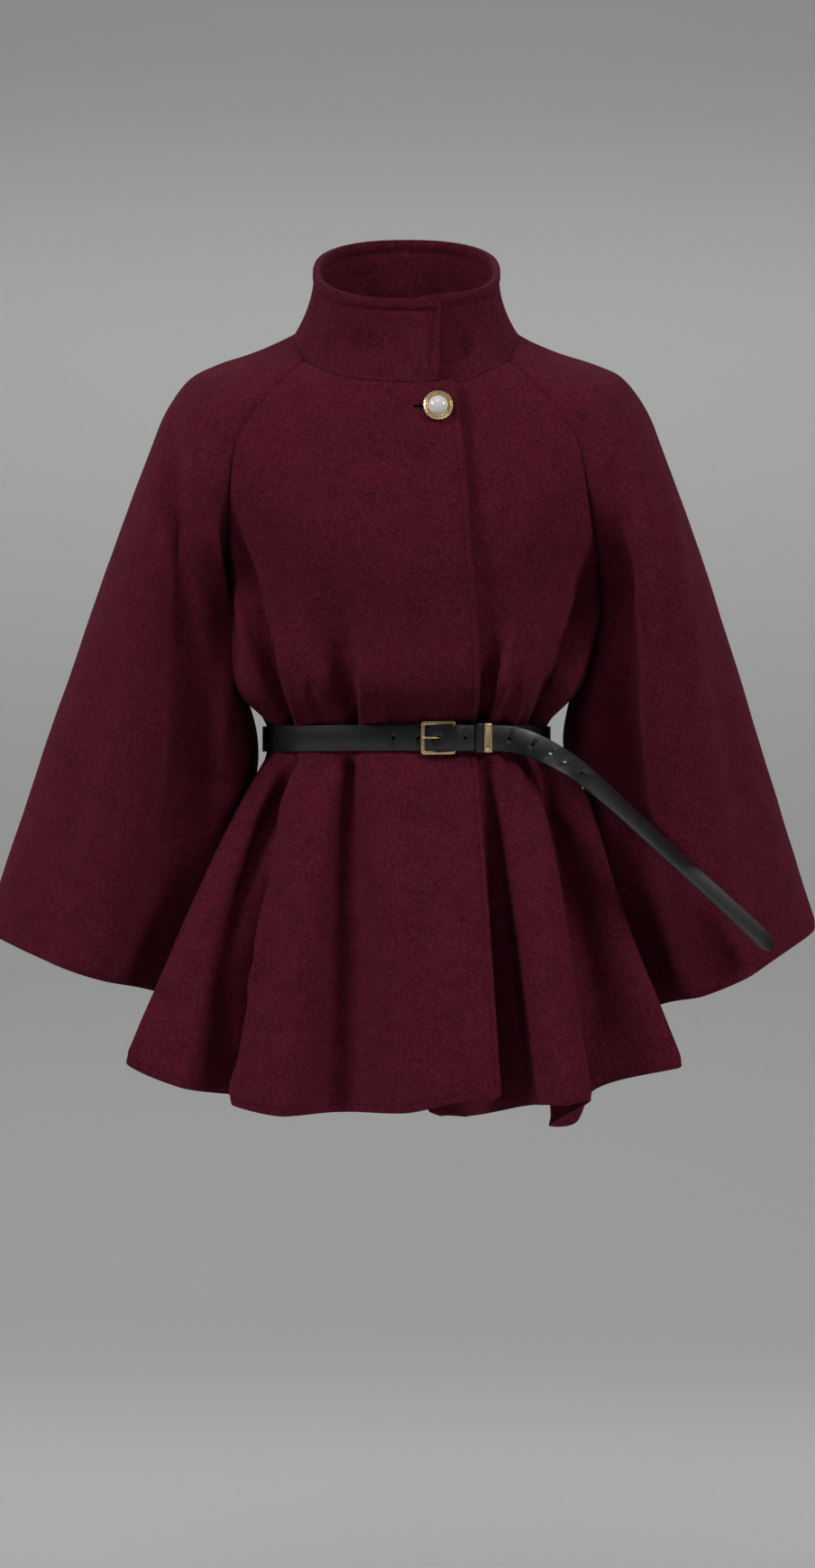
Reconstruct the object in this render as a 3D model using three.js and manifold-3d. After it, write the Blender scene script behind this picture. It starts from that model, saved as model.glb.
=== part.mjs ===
// A belted wool cape coat, worn shape with nobody in it: wide raglan cape sleeves, a stand collar,
// one pearl button at the neck and a leather belt with a square buckle and a long free end.
// Millimetres. +Z up, the front faces -Y, +X is the wearer's left side.
// The origin is at the base of the neck, where the wearer's shoulders carry the coat.
import * as THREE from "three";
import { mergeVertices } from "three/addons/utils/BufferGeometryUtils.js";
import Module from "manifold-3d";

const wasm = await Module();
wasm.setup();

// Cloth and seams
const CLOTH = 3;
const COLLAR_CLOTH = 5.5;
const COLLAR_LIFT = 0.5;
const SEAM_GAP = 0.34;
const OVERLAP_DROP = 6;
const NECK_LEAN = 0.75;
const RING_POWER = 2.3;

// Waist, belt line and the levels between the chest and the hem
const WAIST = { halfWidth: 135, depth: 98 };
const BELT_Z = -380;
const BELT_TILT = -0.103;
const BELT_GRIP = 13;
const BLOUSE_Z = -328;
const BLOUSE_TILT = -0.06;
const SKIRT_FLARE = 0.87;

// How many rows of cloth each stretch of a panel has, and columns to each fold
const YOKE_ROWS = 8;
const BLOUSE_ROWS = 5;
const SKIRT_ROWS = 5;
const FOLD_STEPS = 3;

// From the neck seam (first row) to the underarm point (last row). The raglan seams run at seamX and
// seamZ; the sleeve's ridge at ridgeX and ridgeZ; armDeg is how far round the arm the sleeve reaches.
const YOKE = [
  { seamX: 96, frontSeamZ: -16, backSeamZ: 12, ridgeX: 108, ridgeZ: 3, armDeg: 32, armFront: 100, armBack: 100, chest: 103, back: 85, edgeX: 45, frontZ: -34, backZ: 22 },
  { seamX: 111, frontSeamZ: -27, backSeamZ: -5, ridgeX: 148, ridgeZ: -13, armDeg: 44, armFront: 96, armBack: 98, chest: 112, back: 100, edgeX: 49, frontZ: -58, backZ: 0 },
  { seamX: 126, frontSeamZ: -42, backSeamZ: -22, ridgeX: 181, ridgeZ: -24, armDeg: 57, armFront: 94, armBack: 98, chest: 119, back: 110, edgeX: 52, frontZ: -84, backZ: -26 },
  { seamX: 142, frontSeamZ: -59, backSeamZ: -43, ridgeX: 206, ridgeZ: -37, armDeg: 71, armFront: 95, armBack: 99, chest: 125, back: 116, edgeX: 55, frontZ: -112, backZ: -56 },
  { seamX: 160, frontSeamZ: -90, backSeamZ: -76, ridgeX: 227, ridgeZ: -66, armDeg: 88, armFront: 98, armBack: 101, chest: 131, back: 119, edgeX: 58, frontZ: -142, backZ: -92 },
  { seamX: 166, frontSeamZ: -133, backSeamZ: -126, ridgeX: 241, ridgeZ: -98, armDeg: 108, armFront: 103, armBack: 103, chest: 135, back: 118, edgeX: 60, frontZ: -175, backZ: -136 },
  { seamX: 169, frontSeamZ: -186, backSeamZ: -184, ridgeX: 258, ridgeZ: -142, armDeg: 138, armFront: 105, armBack: 105, chest: 136, back: 115, edgeX: 63, frontZ: -208, backZ: -188 },
  { seamX: 173, frontSeamZ: -242, backSeamZ: -242, ridgeX: 280, ridgeZ: -203, armDeg: 180, armFront: 106, armBack: 106, chest: 132, back: 112, edgeX: 66, frontZ: -242, backZ: -242 },
];

// The sleeve below the underarm, a row for each ring: its outer and inner edge, and its half depth.
const SLEEVE_RINGS = [
  { outerX: 280, outerZ: -203, innerX: 173, innerZ: -242, halfDepth: 106, centreY: 0 },
  { outerX: 301, outerZ: -264, innerX: 164, innerZ: -308, halfDepth: 106, centreY: 9 },
  { outerX: 323, outerZ: -330, innerX: 149, innerZ: -380, halfDepth: 106, centreY: 20 },
  { outerX: 346, outerZ: -400, innerX: 156, innerZ: -457, halfDepth: 106, centreY: 31 },
  { outerX: 372, outerZ: -480, innerX: 172, innerZ: -541, halfDepth: 107, centreY: 40 },
  { outerX: 400, outerZ: -566, innerX: 190, innerZ: -631, halfDepth: 108, centreY: 46 },
];
const CUFF_ROWS = 7;
const SLEEVE_COLUMNS = 22;
const SLEEVE_SWING = 6;
// How much lower than the table a cuff's inner end hangs, and its front and back.
const CUFF = { left: { inner: 16, sides: 9 }, right: { inner: 2, sides: 2.5 } };

// Soft folds of a sleeve: where round the arm (0 is the outer ridge, the front is negative), how deep
// at the shoulder and at the cuff, and how wide, in degrees.
const SLEEVE_FOLDS = [
  { at: -146, depthTop: 2, depthCuff: 4, width: 13 },
  { at: -118, depthTop: -8, depthCuff: -14, width: 19 },
  { at: -84, depthTop: 4, depthCuff: 8, width: 22 },
  { at: -38, depthTop: 0, depthCuff: -6, width: 20 },
  { at: 48, depthTop: 0, depthCuff: -8, width: 20 },
  { at: 82, depthTop: 3, depthCuff: 7, width: 20 },
  { at: 122, depthTop: -6, depthCuff: -12, width: 20 },
];

// Fold lines of the panels, from one edge to the other. chestDeg places a line on the chest ring,
// blouseX and blouseY just above the belt, beltDeg and beltDip under the belt, and hemX, hemY and
// hemZ on the hem. Crests stand out and valleys lie in.
const RIGHT_FRONT_FOLDS = [
  { name: "side_seam", chestDeg: -90, blouseX: -151, blouseY: 4, beltDeg: -90, beltDip: 0.6, hemX: -172, hemY: 24, hemZ: -690 },
  { name: "side_crest", chestDeg: -72, blouseX: -162, blouseY: -54, beltDeg: -72, beltDip: 0.2, hemX: -267, hemY: -98, hemZ: -678 },
  { name: "side_face", chestDeg: -61, blouseX: -142, blouseY: -80, beltDeg: -64, beltDip: 0.4, hemX: -212, hemY: -122, hemZ: -699 },
  { name: "side_valley", chestDeg: -54, blouseX: -121, blouseY: -83, beltDeg: -57, beltDip: 2.6, hemX: -150, hemY: -84, hemZ: -713 },
  { name: "front_fold", chestDeg: -47, blouseX: -108, blouseY: -101, beltDeg: -50, beltDip: 0.2, hemX: -166, hemY: -138, hemZ: -713 },
  { name: "front_face", chestDeg: -37, blouseX: -88, blouseY: -113, beltDeg: -40, beltDip: 0.2, hemX: -118, hemY: -172, hemZ: -719 },
  { name: "middle_valley", chestDeg: -23, blouseX: -57, blouseY: -109, beltDeg: -24, beltDip: 2.6, hemX: -62, hemY: -144, hemZ: -719 },
  { name: "middle_crest", chestDeg: -13, blouseX: -38, blouseY: -127, beltDeg: -15, beltDip: 0.2, hemX: 0, hemY: -180, hemZ: -715 },
  { name: "buckle_face", chestDeg: 0, blouseX: 14, blouseY: -126, beltDeg: 4, beltDip: 0.4, hemX: 48, hemY: -176, hemZ: -706 },
  { name: "front_edge", chestDeg: 18, blouseX: 69, blouseY: -121, beltDeg: 29, beltDip: 0.6, hemX: 89, hemY: -178, hemZ: -703 },
];
const LEFT_FRONT_FOLDS = [
  { name: "hidden_edge", chestDeg: 0, blouseX: 12, blouseY: -117, beltDeg: 5, beltDip: 6.5, hemX: 17, hemY: -152, hemZ: -722 },
  { name: "under_face", chestDeg: 10, blouseX: 44, blouseY: -114, beltDeg: 18, beltDip: 6.5, hemX: 62, hemY: -148, hemZ: -722 },
  { name: "opening_valley", chestDeg: 21, blouseX: 74, blouseY: -104, beltDeg: 31.5, beltDip: 6, hemX: 112, hemY: -110, hemZ: -718 },
  { name: "pleat_left", chestDeg: 27, blouseX: 85, blouseY: -119, beltDeg: 37, beltDip: 0.4, hemX: 126, hemY: -164, hemZ: -710 },
  { name: "pleat_face", chestDeg: 36, blouseX: 103, blouseY: -110, beltDeg: 46, beltDip: 0.2, hemX: 150, hemY: -181, hemZ: -707 },
  { name: "pleat_right", chestDeg: 46, blouseX: 118, blouseY: -103, beltDeg: 55, beltDip: 0.2, hemX: 175, hemY: -163, hemZ: -705 },
  { name: "pleat_turn", chestDeg: 53, blouseX: 123, blouseY: -86, beltDeg: 60, beltDip: 2.6, hemX: 139, hemY: -120, hemZ: -735 },
  { name: "turn_back", chestDeg: 58, blouseX: 130, blouseY: -80, beltDeg: 63.5, beltDip: 2.4, hemX: 162, hemY: -98, hemZ: -735 },
  { name: "side_valley", chestDeg: 64, blouseX: 139, blouseY: -76, beltDeg: 67.5, beltDip: 1.4, hemX: 176, hemY: -92, hemZ: -706 },
  { name: "side_crest", chestDeg: 74, blouseX: 160, blouseY: -54, beltDeg: 74, beltDip: 0.2, hemX: 262, hemY: -98, hemZ: -681 },
  { name: "side_seam", chestDeg: 90, blouseX: 151, blouseY: 4, beltDeg: 90, beltDip: 0.6, hemX: 172, hemY: 24, hemZ: -690 },
];
const BACK_FOLDS = [
  { name: "right_seam", chestDeg: -90, blouseX: -151, blouseY: 4, beltDeg: -90, beltDip: 0.6, hemX: -172, hemY: 24, hemZ: -690 },
  { name: "right_crest", chestDeg: -66, blouseX: -144, blouseY: 62, beltDeg: -68, beltDip: 0.2, hemX: -180, hemY: 118, hemZ: -698 },
  { name: "right_valley", chestDeg: -50, blouseX: -112, blouseY: 84, beltDeg: -52, beltDip: 2.6, hemX: -142, hemY: 112, hemZ: -704 },
  { name: "right_fold", chestDeg: -37, blouseX: -92, blouseY: 107, beltDeg: -38, beltDip: 0.2, hemX: -128, hemY: 170, hemZ: -708 },
  { name: "inner_valley", chestDeg: -22, blouseX: -52, blouseY: 108, beltDeg: -23, beltDip: 2.6, hemX: -70, hemY: 143, hemZ: -711 },
  { name: "centre_crest", chestDeg: -5, blouseX: -14, blouseY: 119, beltDeg: -6, beltDip: 0.2, hemX: -14, hemY: 192, hemZ: -713 },
  { name: "centre_valley", chestDeg: 12, blouseX: 31, blouseY: 110, beltDeg: 12, beltDip: 2.4, hemX: 44, hemY: 149, hemZ: -712 },
  { name: "left_fold", chestDeg: 31, blouseX: 78, blouseY: 111, beltDeg: 32, beltDip: 0.2, hemX: 112, hemY: 178, hemZ: -709 },
  { name: "left_valley", chestDeg: 48, blouseX: 109, blouseY: 86, beltDeg: 50, beltDip: 2.6, hemX: 141, hemY: 114, hemZ: -704 },
  { name: "left_crest", chestDeg: 67, blouseX: 144, blouseY: 62, beltDeg: 68, beltDip: 0.2, hemX: 180, hemY: 118, hemZ: -698 },
  { name: "left_seam", chestDeg: 90, blouseX: 151, blouseY: 4, beltDeg: 90, beltDip: 0.6, hemX: 172, hemY: 24, hemZ: -690 },
];

// Collar: a band round the neck whose right end lies over its left end. degrees go round the neck
// from the middle of the front, towards the wearer's left.
const COLLAR = {
  rimHalfWidth: 89, rimFront: 82, rimBack: 80, rimFrontZ: 43, rimBackZ: 93, bell: 2.3,
  overEndDeg: 17.5, underEndDeg: 5, endLean: 2.4, cornerRadius: 11, rows: 6, columns: 44,
  tuck: 6.8, tuckFromDeg: 26, tuckToDeg: 58,
};

// Button: a pearl dome in a ribbed gold rim, on a thread shank through the buttonhole.
const BUTTON = {
  x: 29.2, z: -56.5, rimRadius: 14.4, wallRadius: 9.6, pearlRadius: 9.3, pearlHeight: 5.6,
  plate: 1, beads: 2.2, ribs: 24, ribDepth: 0.6, clearance: 1.9, shankRadius: 1.4, slack: 0.3,
};
const BUTTONHOLE = { fromX: 5, toX: 32, height: 3.6 };

// Belt: one strap that is folded round the buckle's bar, goes once round the waist, comes back
// through the buckle and its two keepers, and hangs free.
const STRAP = { width: 24, thick: 2, steps: 3, endWidth: 9, pointLength: 13 };
const BUCKLE = { leftBarX: 14.9, rightBarX: 43.6, bar: 2.8, depth: 2.2, height: 31, corner: 3, lift: 4.3 };
const BAR_LOOP = { radius: 2.8, slotFromX: 37, slotToX: 48, slotHeight: 4.4, slotTop: 8.2 };
const PRONG = { radius: 1, loopInner: 1.95, loopOuter: 2.9, loopHeight: 3, sides: 8 };
const PRONG_HOLE = { fromX: 23.4, toX: 33.4, height: 3.4 };
const LEATHER_KEEPER = { fromX: 62.4, toX: 69.5, wall: 1.5, inner: 1.9, outer: 6.8, halfHeight: 12.4 };
const METAL_KEEPER = { fromX: 70.1, toX: 77.1, wall: 1.4, inner: 1.8, outer: 6.8, halfHeight: 12.4 };
const KEEPER_RECESS = { margin: 1.7, depth: 0.7 };
const HOLE = { radius: 1.8, sides: 10 };

// How far the strap's middle stands off the cloth along the front of the waist, in order along the
// strap: the folded end, the way back over it, and the way in through the buckle and the keepers.
const FOLDED_END = [
  { x: 58.5, off: 1.5 },
  { x: 53, off: 1.5 },
  { x: 48, off: 1.5 },
];
const BUCKLE_END = [
  { x: 48.5, off: 6.4 },
  { x: 53.5, off: 4.6 },
  { x: 58.8, off: 3.9 },
  { x: 63.4, off: 3.2 },
  { x: 71, off: 3.2 },
  { x: 79, off: 3.2 },
  { x: 89, off: 2 },
  { x: 98, off: 1.5 },
];
const THROUGH_BUCKLE = [
  { x: -18, off: 1.5 },
  { x: -2, off: 1.5 },
  { x: 8, off: 1.5 },
  { x: 16, off: 1.7 },
  { x: 23, off: 3.6 },
  { x: 30, off: 6.4 },
  { x: 37, off: 8.7 },
  { x: 44.5, off: 9.6 },
  { x: 52.5, off: 8.2 },
  { x: 62.6, off: 5.5 },
  { x: 70, off: 5.5 },
  { x: 78, off: 5.5 },
];
const PRONG_LINE = [
  { x: 41.2, off: 4.3 },
  { x: 35, off: 4.4 },
  { x: 29, off: 5 },
  { x: 23, off: 6.2 },
  { x: 18.5, off: 6.8 },
  { x: 13.8, off: 6.7 },
];

// The free end, past the keepers: its middle line, and how far its face is turned up.
const TAIL = [
  { x: 92, y: -79.5, z: -372, turnDeg: 2 },
  { x: 107, y: -75, z: -375, turnDeg: 9 },
  { x: 124, y: -73, z: -381.4, turnDeg: 22 },
  { x: 142, y: -75, z: -390.4, turnDeg: 36 },
  { x: 165, y: -82, z: -405, turnDeg: 48 },
  { x: 202, y: -92, z: -436.5, turnDeg: 56 },
  { x: 245, y: -98, z: -476, turnDeg: 59 },
  { x: 287, y: -97, z: -514.5, turnDeg: 58 },
  { x: 326, y: -91, z: -551, turnDeg: 54 },
  { x: 345.5, y: -88, z: -570, turnDeg: 51 },
];
const TAIL_HOLES_X = [95, 115.5, 135, 152.5, 169];
const WAIST_HOLES_X = [-15, 10, 56.5];

const COLOURS = {
  wool: { color: 0x4d1624, roughness: 0.95, metalness: 0 },
  leather: { color: 0x1b1b1d, roughness: 0.45, metalness: 0 },
  gold: { color: 0xc9a35c, roughness: 0.28, metalness: 1 },
  pearl: { color: 0xe9e5e6, roughness: 0.2, metalness: 0.1 },
  thread: { color: 0x3a1019, roughness: 0.9, metalness: 0 },
};

const radians = THREE.MathUtils.degToRad;
const lerp = THREE.MathUtils.lerp;
const smoothstep = THREE.MathUtils.smoothstep;
const at = (x, y, z) => new THREE.Vector3(x, y, z);

// A table's column as a smooth function of the row number.
function smoothColumn(table, key) {
  const points = table.map((row, k) => at(k, row[key], 0));
  return (k) => {
    const i = Math.min(Math.floor(k), points.length - 2);
    const f = k - i;
    const value = (j) => points[THREE.MathUtils.clamp(j, 0, points.length - 1)].y;
    const before = (value(i + 1) - value(i - 1)) / (i > 0 ? 2 : 1);
    const after = (value(i + 2) - value(i)) / (i + 2 < points.length ? 2 : 1);
    const f2 = f * f;
    const f3 = f2 * f;
    return value(i) * (2 * f3 - 3 * f2 + 1) + value(i + 1) * (3 * f2 - 2 * f3)
      + before * (f3 - 2 * f2 + f) + after * (f3 - f2);
  };
}

// All the columns of a table at one row number, rows between the written ones included.
function smoothRow(table, k) {
  return Object.fromEntries(Object.keys(table[0]).map((key) => [key, smoothColumn(table, key)(k)]));
}

// A point of a rounded ring round the body. deg 0 is the middle of the front, or of the back.
function ringPoint(deg, halfWidth, depth, power = RING_POWER) {
  const s = Math.sin(radians(deg));
  const c = Math.cos(radians(deg));
  const x = halfWidth * Math.sign(s) * Math.abs(s) ** (2 / power);
  return { x, y: depth * Math.abs(c) ** (2 / power) };
}
const ringDeg = (x, halfWidth, power = RING_POWER) =>
  Math.sign(x) * THREE.MathUtils.radToDeg(Math.asin(Math.min(1, Math.abs(x) / halfWidth) ** (power / 2)));

// Half width of the ring of a given depth that goes through a seam point.
const ringHalfWidth = (x, y, depth, power = RING_POWER) =>
  x / (1 - Math.min(0.999, y / depth) ** power) ** (1 / power);

// The yoke at one height, from 0 at the neck seam to 1 at the underarm.
function yokeAt(v) {
  const row = smoothRow(YOKE, v * (YOKE.length - 1));
  const reach = Math.sin(radians(row.armDeg));
  row.frontSeamY = row.armFront * Math.max(0, reach);
  row.backSeamY = row.armBack * Math.max(0, reach);
  return row;
}

// A point of the front or back between its raglan seams. side is -1 at the front and 1 at the back.
function bodyYoke(v, share, fromX, toX, side) {
  const row = yokeAt(v);
  const depth = side < 0 ? row.chest : row.back;
  const seamY = side < 0 ? row.frontSeamY : row.backSeamY;
  const seamZ = side < 0 ? row.frontSeamZ : row.backSeamZ;
  const middleZ = side < 0 ? row.frontZ : row.backZ;
  const halfWidth = ringHalfWidth(row.seamX, seamY, depth);
  const deg = lerp(ringDeg(fromX(row), halfWidth), ringDeg(toX(row), halfWidth), share);
  const point = ringPoint(deg, halfWidth, depth);
  const edge = seamY / depth;
  const rise = THREE.MathUtils.clamp((point.y / depth - edge) / (1 - edge), 0, 1);
  return at(point.x, side * point.y, lerp(seamZ, middleZ, rise));
}

function waistPoint(deg, off = 0) {
  const x = WAIST.halfWidth * Math.sin(radians(deg));
  const y = -WAIST.depth * Math.cos(radians(deg));
  const normal = at(x / WAIST.halfWidth ** 2, y / WAIST.depth ** 2, 0).normalize();
  return at(x, y, 0).addScaledVector(normal, off);
}
const beltZ = (y) => BELT_Z + BELT_TILT * y;
const waistDeg = (x) => THREE.MathUtils.radToDeg(Math.asin(x / WAIST.halfWidth));
function onBelt({ x, off }) {
  const p = waistPoint(waistDeg(x), off);
  return p.setZ(beltZ(p.y));
}

// One panel of the body as rows of points from the neck down to the hem.
function bodyPanel(folds, side, fromX, toX, drop = () => at(0, 0, 0)) {
  const last = folds.length - 1;
  const columns = last * FOLD_STEPS;
  const chest = smoothColumn(folds, "chestDeg");
  const curveOf = (make) => new THREE.CatmullRomCurve3(folds.map(make), false, "centripetal");
  const blouse = curveOf((f) => at(f.blouseX, f.blouseY, BLOUSE_Z + BLOUSE_TILT * f.blouseY));
  const belt = curveOf((f) => {
    const p = waistPoint(f.beltDeg, -f.beltDip);
    return at(p.x, side * Math.abs(p.y), 0);
  });
  const hem = curveOf((f) => at(f.hemX, f.hemY, f.hemZ));
  const rows = [];
  const yokeRow = (v) => {
    const row = [];
    for (let c = 0; c <= columns; c++) {
      const share = (chest(c / FOLD_STEPS) - chest(0)) / (chest(last) - chest(0));
      const point = bodyYoke(v, share, fromX, toX, side);
      point.add(drop(point, v));
      row.push(point);
    }
    return row;
  };
  for (let r = 0; r <= YOKE_ROWS; r++) rows.push(yokeRow(r / YOKE_ROWS));
  const lastYoke = (YOKE_ROWS - 1) / YOKE_ROWS;
  const above = yokeRow(lastYoke).map((point) => {
    const seam = yokeAt(lastYoke);
    const onSeam = Math.abs(Math.abs(point.x) - seam.seamX) < 0.01;
    return onSeam ? at(point.x, 0, (seam.frontSeamZ + seam.backSeamZ) / 2) : point;
  });
  const under = rows[YOKE_ROWS];
  const gripped = (c, lift) => {
    const p = belt.getPoint(c / columns);
    return at(p.x, p.y, beltZ(p.y) + lift);
  };
  const falls = under.map((point, c) => new THREE.CatmullRomCurve3(
    [above[c], point, blouse.getPoint(c / columns), gripped(c, BELT_GRIP)], false, "centripetal",
  ));
  for (let r = 1; r <= BLOUSE_ROWS; r++) {
    const share = (1 + 2 * r / BLOUSE_ROWS) / 3;
    rows.push(falls.map((fall) => fall.getPoint(share)));
  }
  for (let r = 0; r <= SKIRT_ROWS; r++) {
    const v = r / SKIRT_ROWS;
    rows.push(under.map((_, c) => {
      const top = gripped(c, -BELT_GRIP);
      const end = hem.getPoint(c / columns);
      const out = v ** SKIRT_FLARE;
      return at(lerp(top.x, end.x, out), lerp(top.y, end.y, out), lerp(top.z, end.z, v));
    }));
  }
  return rows;
}

// How far the sleeve's soft folds push a point out or in, round the arm and down it.
function sleeveFold(deg, v) {
  return SLEEVE_FOLDS.reduce((sum, fold) => {
    const apart = (deg - fold.at) / fold.width;
    return sum + lerp(fold.depthTop, fold.depthCuff, v) * Math.exp(-apart * apart);
  }, 0);
}

// The left sleeve as rows of points round the arm, from the front seam over the ridge to the back.
function sleeveRows(swing, hang) {
  const rows = [];
  const ringRow = (outer, inner, frontDepth, backDepth, armDeg, centreY, v) => {
    const across = outer.clone().sub(inner);
    const halfWidth = across.length() / (1 - Math.cos(radians(armDeg)));
    across.normalize();
    const centre = outer.clone().addScaledVector(across, -halfWidth);
    const row = [];
    for (let c = 0; c <= SLEEVE_COLUMNS; c++) {
      const deg = lerp(-armDeg, armDeg, c / SLEEVE_COLUMNS);
      const depth = deg < 0 ? frontDepth : backDepth;
      const seam = deg < 0 ? inner : inner.back;
      const turned = radians(deg);
      const near = Math.abs(deg) / armDeg;
      const point = centre.clone().addScaledVector(across, halfWidth * Math.cos(turned));
      point.y = centreY + depth * Math.sin(turned);
      if (seam && deg > 0) point.z += (seam.z - inner.z) * near * near;
      const out = across.clone().multiplyScalar(Math.cos(turned)).add(at(0, Math.sin(turned), 0));
      point.addScaledVector(out, sleeveFold(deg, v) * smoothstep(v, 0.3, 0.62));
      row.push(point);
    }
    return row;
  };
  for (let r = 0; r <= YOKE_ROWS; r++) {
    const row = yokeAt(r / YOKE_ROWS);
    const inner = at(row.seamX, 0, row.frontSeamZ);
    inner.back = { z: row.backSeamZ };
    const ridge = at(row.ridgeX, 0, row.ridgeZ);
    rows.push(ringRow(ridge, inner, row.armFront, row.armBack, row.armDeg, 0, 0.3 * r / YOKE_ROWS));
  }
  for (let r = 1; r <= CUFF_ROWS; r++) {
    const v = r / CUFF_ROWS;
    const ring = smoothRow(SLEEVE_RINGS, v * (SLEEVE_RINGS.length - 1));
    const outer = at(ring.outerX + swing * v, 0, ring.outerZ);
    const inner = at(ring.innerX, 0, ring.innerZ - hang.inner * v * v);
    const row = ringRow(outer, inner, ring.halfDepth, ring.halfDepth, 180, ring.centreY, 0.3 + 0.7 * v);
    for (const point of row) {
      const aside = Math.abs(point.y - ring.centreY) / ring.halfDepth;
      point.z -= hang.sides * v * v * Math.min(1, aside * aside);
    }
    rows.push(row);
  }
  return rows;
}

const mirrored = (rows) => rows.map((row) => row.map((p) => at(-p.x, p.y, p.z)));

// Outward normals of a sheet of points. turn is 1 or -1, for which way the sheet faces.
function sheetNormals(rows, turn) {
  return rows.map((row, r) => row.map((_, c) => {
    const up = rows[Math.max(0, r - 1)][c];
    const down = rows[Math.min(rows.length - 1, r + 1)][c];
    const left = row[Math.max(0, c - 1)];
    const right = row[Math.min(row.length - 1, c + 1)];
    return down.clone().sub(up).cross(right.clone().sub(left)).multiplyScalar(turn).normalize();
  }));
}

// A closed wall from a sheet of points: the sheet is its outer face. closedFrom is the row from which
// the sheet's two long edges are one, as on a tube.
function wallGeometry(rows, normals, thick, closedFrom = Infinity) {
  const outer = rows.map((row, r) => row.map((p, c) => (c === row.length - 1 && r >= closedFrom ? row[0] : p)));
  const inner = outer.map((row, r) => row.map((p, c) => {
    const n = c === row.length - 1 && r >= closedFrom ? normals[r][0] : normals[r][c];
    return p.clone().addScaledVector(n, -thick);
  }));
  const corners = [];
  const quad = (a, b, c, d) => corners.push(a, b, c, a, c, d);
  const lastRow = rows.length - 1;
  const lastColumn = rows[0].length - 1;
  for (let r = 0; r < lastRow; r++) {
    for (let c = 0; c < lastColumn; c++) {
      quad(outer[r][c], outer[r + 1][c], outer[r + 1][c + 1], outer[r][c + 1]);
      quad(inner[r][c], inner[r][c + 1], inner[r + 1][c + 1], inner[r + 1][c]);
    }
    if (r < closedFrom) {
      quad(outer[r][0], inner[r][0], inner[r + 1][0], outer[r + 1][0]);
      quad(outer[r][lastColumn], outer[r + 1][lastColumn], inner[r + 1][lastColumn], inner[r][lastColumn]);
    }
  }
  for (let c = 0; c < lastColumn; c++) {
    quad(outer[0][c], outer[0][c + 1], inner[0][c + 1], inner[0][c]);
    quad(outer[lastRow][c], inner[lastRow][c], inner[lastRow][c + 1], outer[lastRow][c + 1]);
  }
  return facingOut(new THREE.BufferGeometry().setFromPoints(corners));
}

// The geometry with shared corners merged, turned right side out.
function facingOut(geometry) {
  const bare = geometry.index ? geometry.toNonIndexed() : geometry;
  bare.deleteAttribute("normal");
  bare.deleteAttribute("uv");
  const merged = mergeVertices(bare, 1e-3);
  const place = merged.attributes.position;
  const index = merged.index.array;
  const [a, b, c] = [at(0, 0, 0), at(0, 0, 0), at(0, 0, 0)];
  let volume = 0;
  for (let i = 0; i < index.length; i += 3) {
    a.fromBufferAttribute(place, index[i]);
    b.fromBufferAttribute(place, index[i + 1]);
    c.fromBufferAttribute(place, index[i + 2]);
    volume += a.dot(b.cross(c));
  }
  if (volume < 0) {
    for (let i = 0; i < index.length; i += 3) [index[i + 1], index[i + 2]] = [index[i + 2], index[i + 1]];
  }
  return merged;
}

function solidOf(geometry) {
  const merged = facingOut(geometry.clone());
  return new wasm.Manifold(new wasm.Mesh({
    numProp: 3,
    vertProperties: merged.attributes.position.array,
    triVerts: new Uint32Array(merged.index.array),
  }));
}

function geometryOf(solid) {
  const mesh = solid.getMesh();
  const places = new Float32Array(mesh.numVert * 3);
  for (let i = 0; i < mesh.numVert; i++) {
    places.set(mesh.vertProperties.subarray(i * mesh.numProp, i * mesh.numProp + 3), i * 3);
  }
  return new THREE.BufferGeometry()
    .setAttribute("position", new THREE.BufferAttribute(places, 3))
    .setIndex(new THREE.BufferAttribute(mesh.triVerts, 1));
}

// Draws a panel's edges back by half the seam gap, so that sewn pieces stay apart.
function drawBack(rows, edges) {
  const half = SEAM_GAP / 2;
  const toward = (p, q) => p.clone().addScaledVector(q.clone().sub(p).normalize(), half);
  const out = rows.map((row) => row.slice());
  const end = rows[0].length - 1;
  rows.forEach((row, r) => {
    if (edges.left(r)) out[r][0] = toward(row[0], row[1]);
    if (edges.right(r)) out[r][end] = toward(row[end], row[end - 1]);
  });
  out[0] = out[0].map((p, c) => toward(p, rows[1][c]));
  return out;
}

// Cloth sheets
const frontSeamRight = (row) => -row.seamX;
const frontSeamLeft = (row) => row.seamX;
const frontEdge = (row) => row.edgeX;
const hiddenEdge = () => 8;
const underFront = (point, v) => {
  const edge = yokeAt(v).edgeX;
  const share = 1 - smoothstep(point.x, edge + 3, edge + 36);
  const lean = lerp(NECK_LEAN, 0, Math.min(1, 2 * v));
  return at(0, 1, -lean).multiplyScalar(OVERLAP_DROP * share);
};
const sheets = {
  front_right: { rows: bodyPanel(RIGHT_FRONT_FOLDS, -1, frontSeamRight, frontEdge), turn: 1 },
  front_left: { rows: bodyPanel(LEFT_FRONT_FOLDS, -1, hiddenEdge, frontSeamLeft, underFront), turn: 1 },
  back: { rows: bodyPanel(BACK_FOLDS, 1, frontSeamRight, frontSeamLeft), turn: -1 },
  sleeve_left: { rows: sleeveRows(-SLEEVE_SWING, CUFF.left), turn: 1 },
  sleeve_right: { rows: mirrored(sleeveRows(SLEEVE_SWING, CUFF.right)), turn: -1 },
};
for (const sheet of Object.values(sheets)) sheet.normals = sheetNormals(sheet.rows, sheet.turn);

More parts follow.
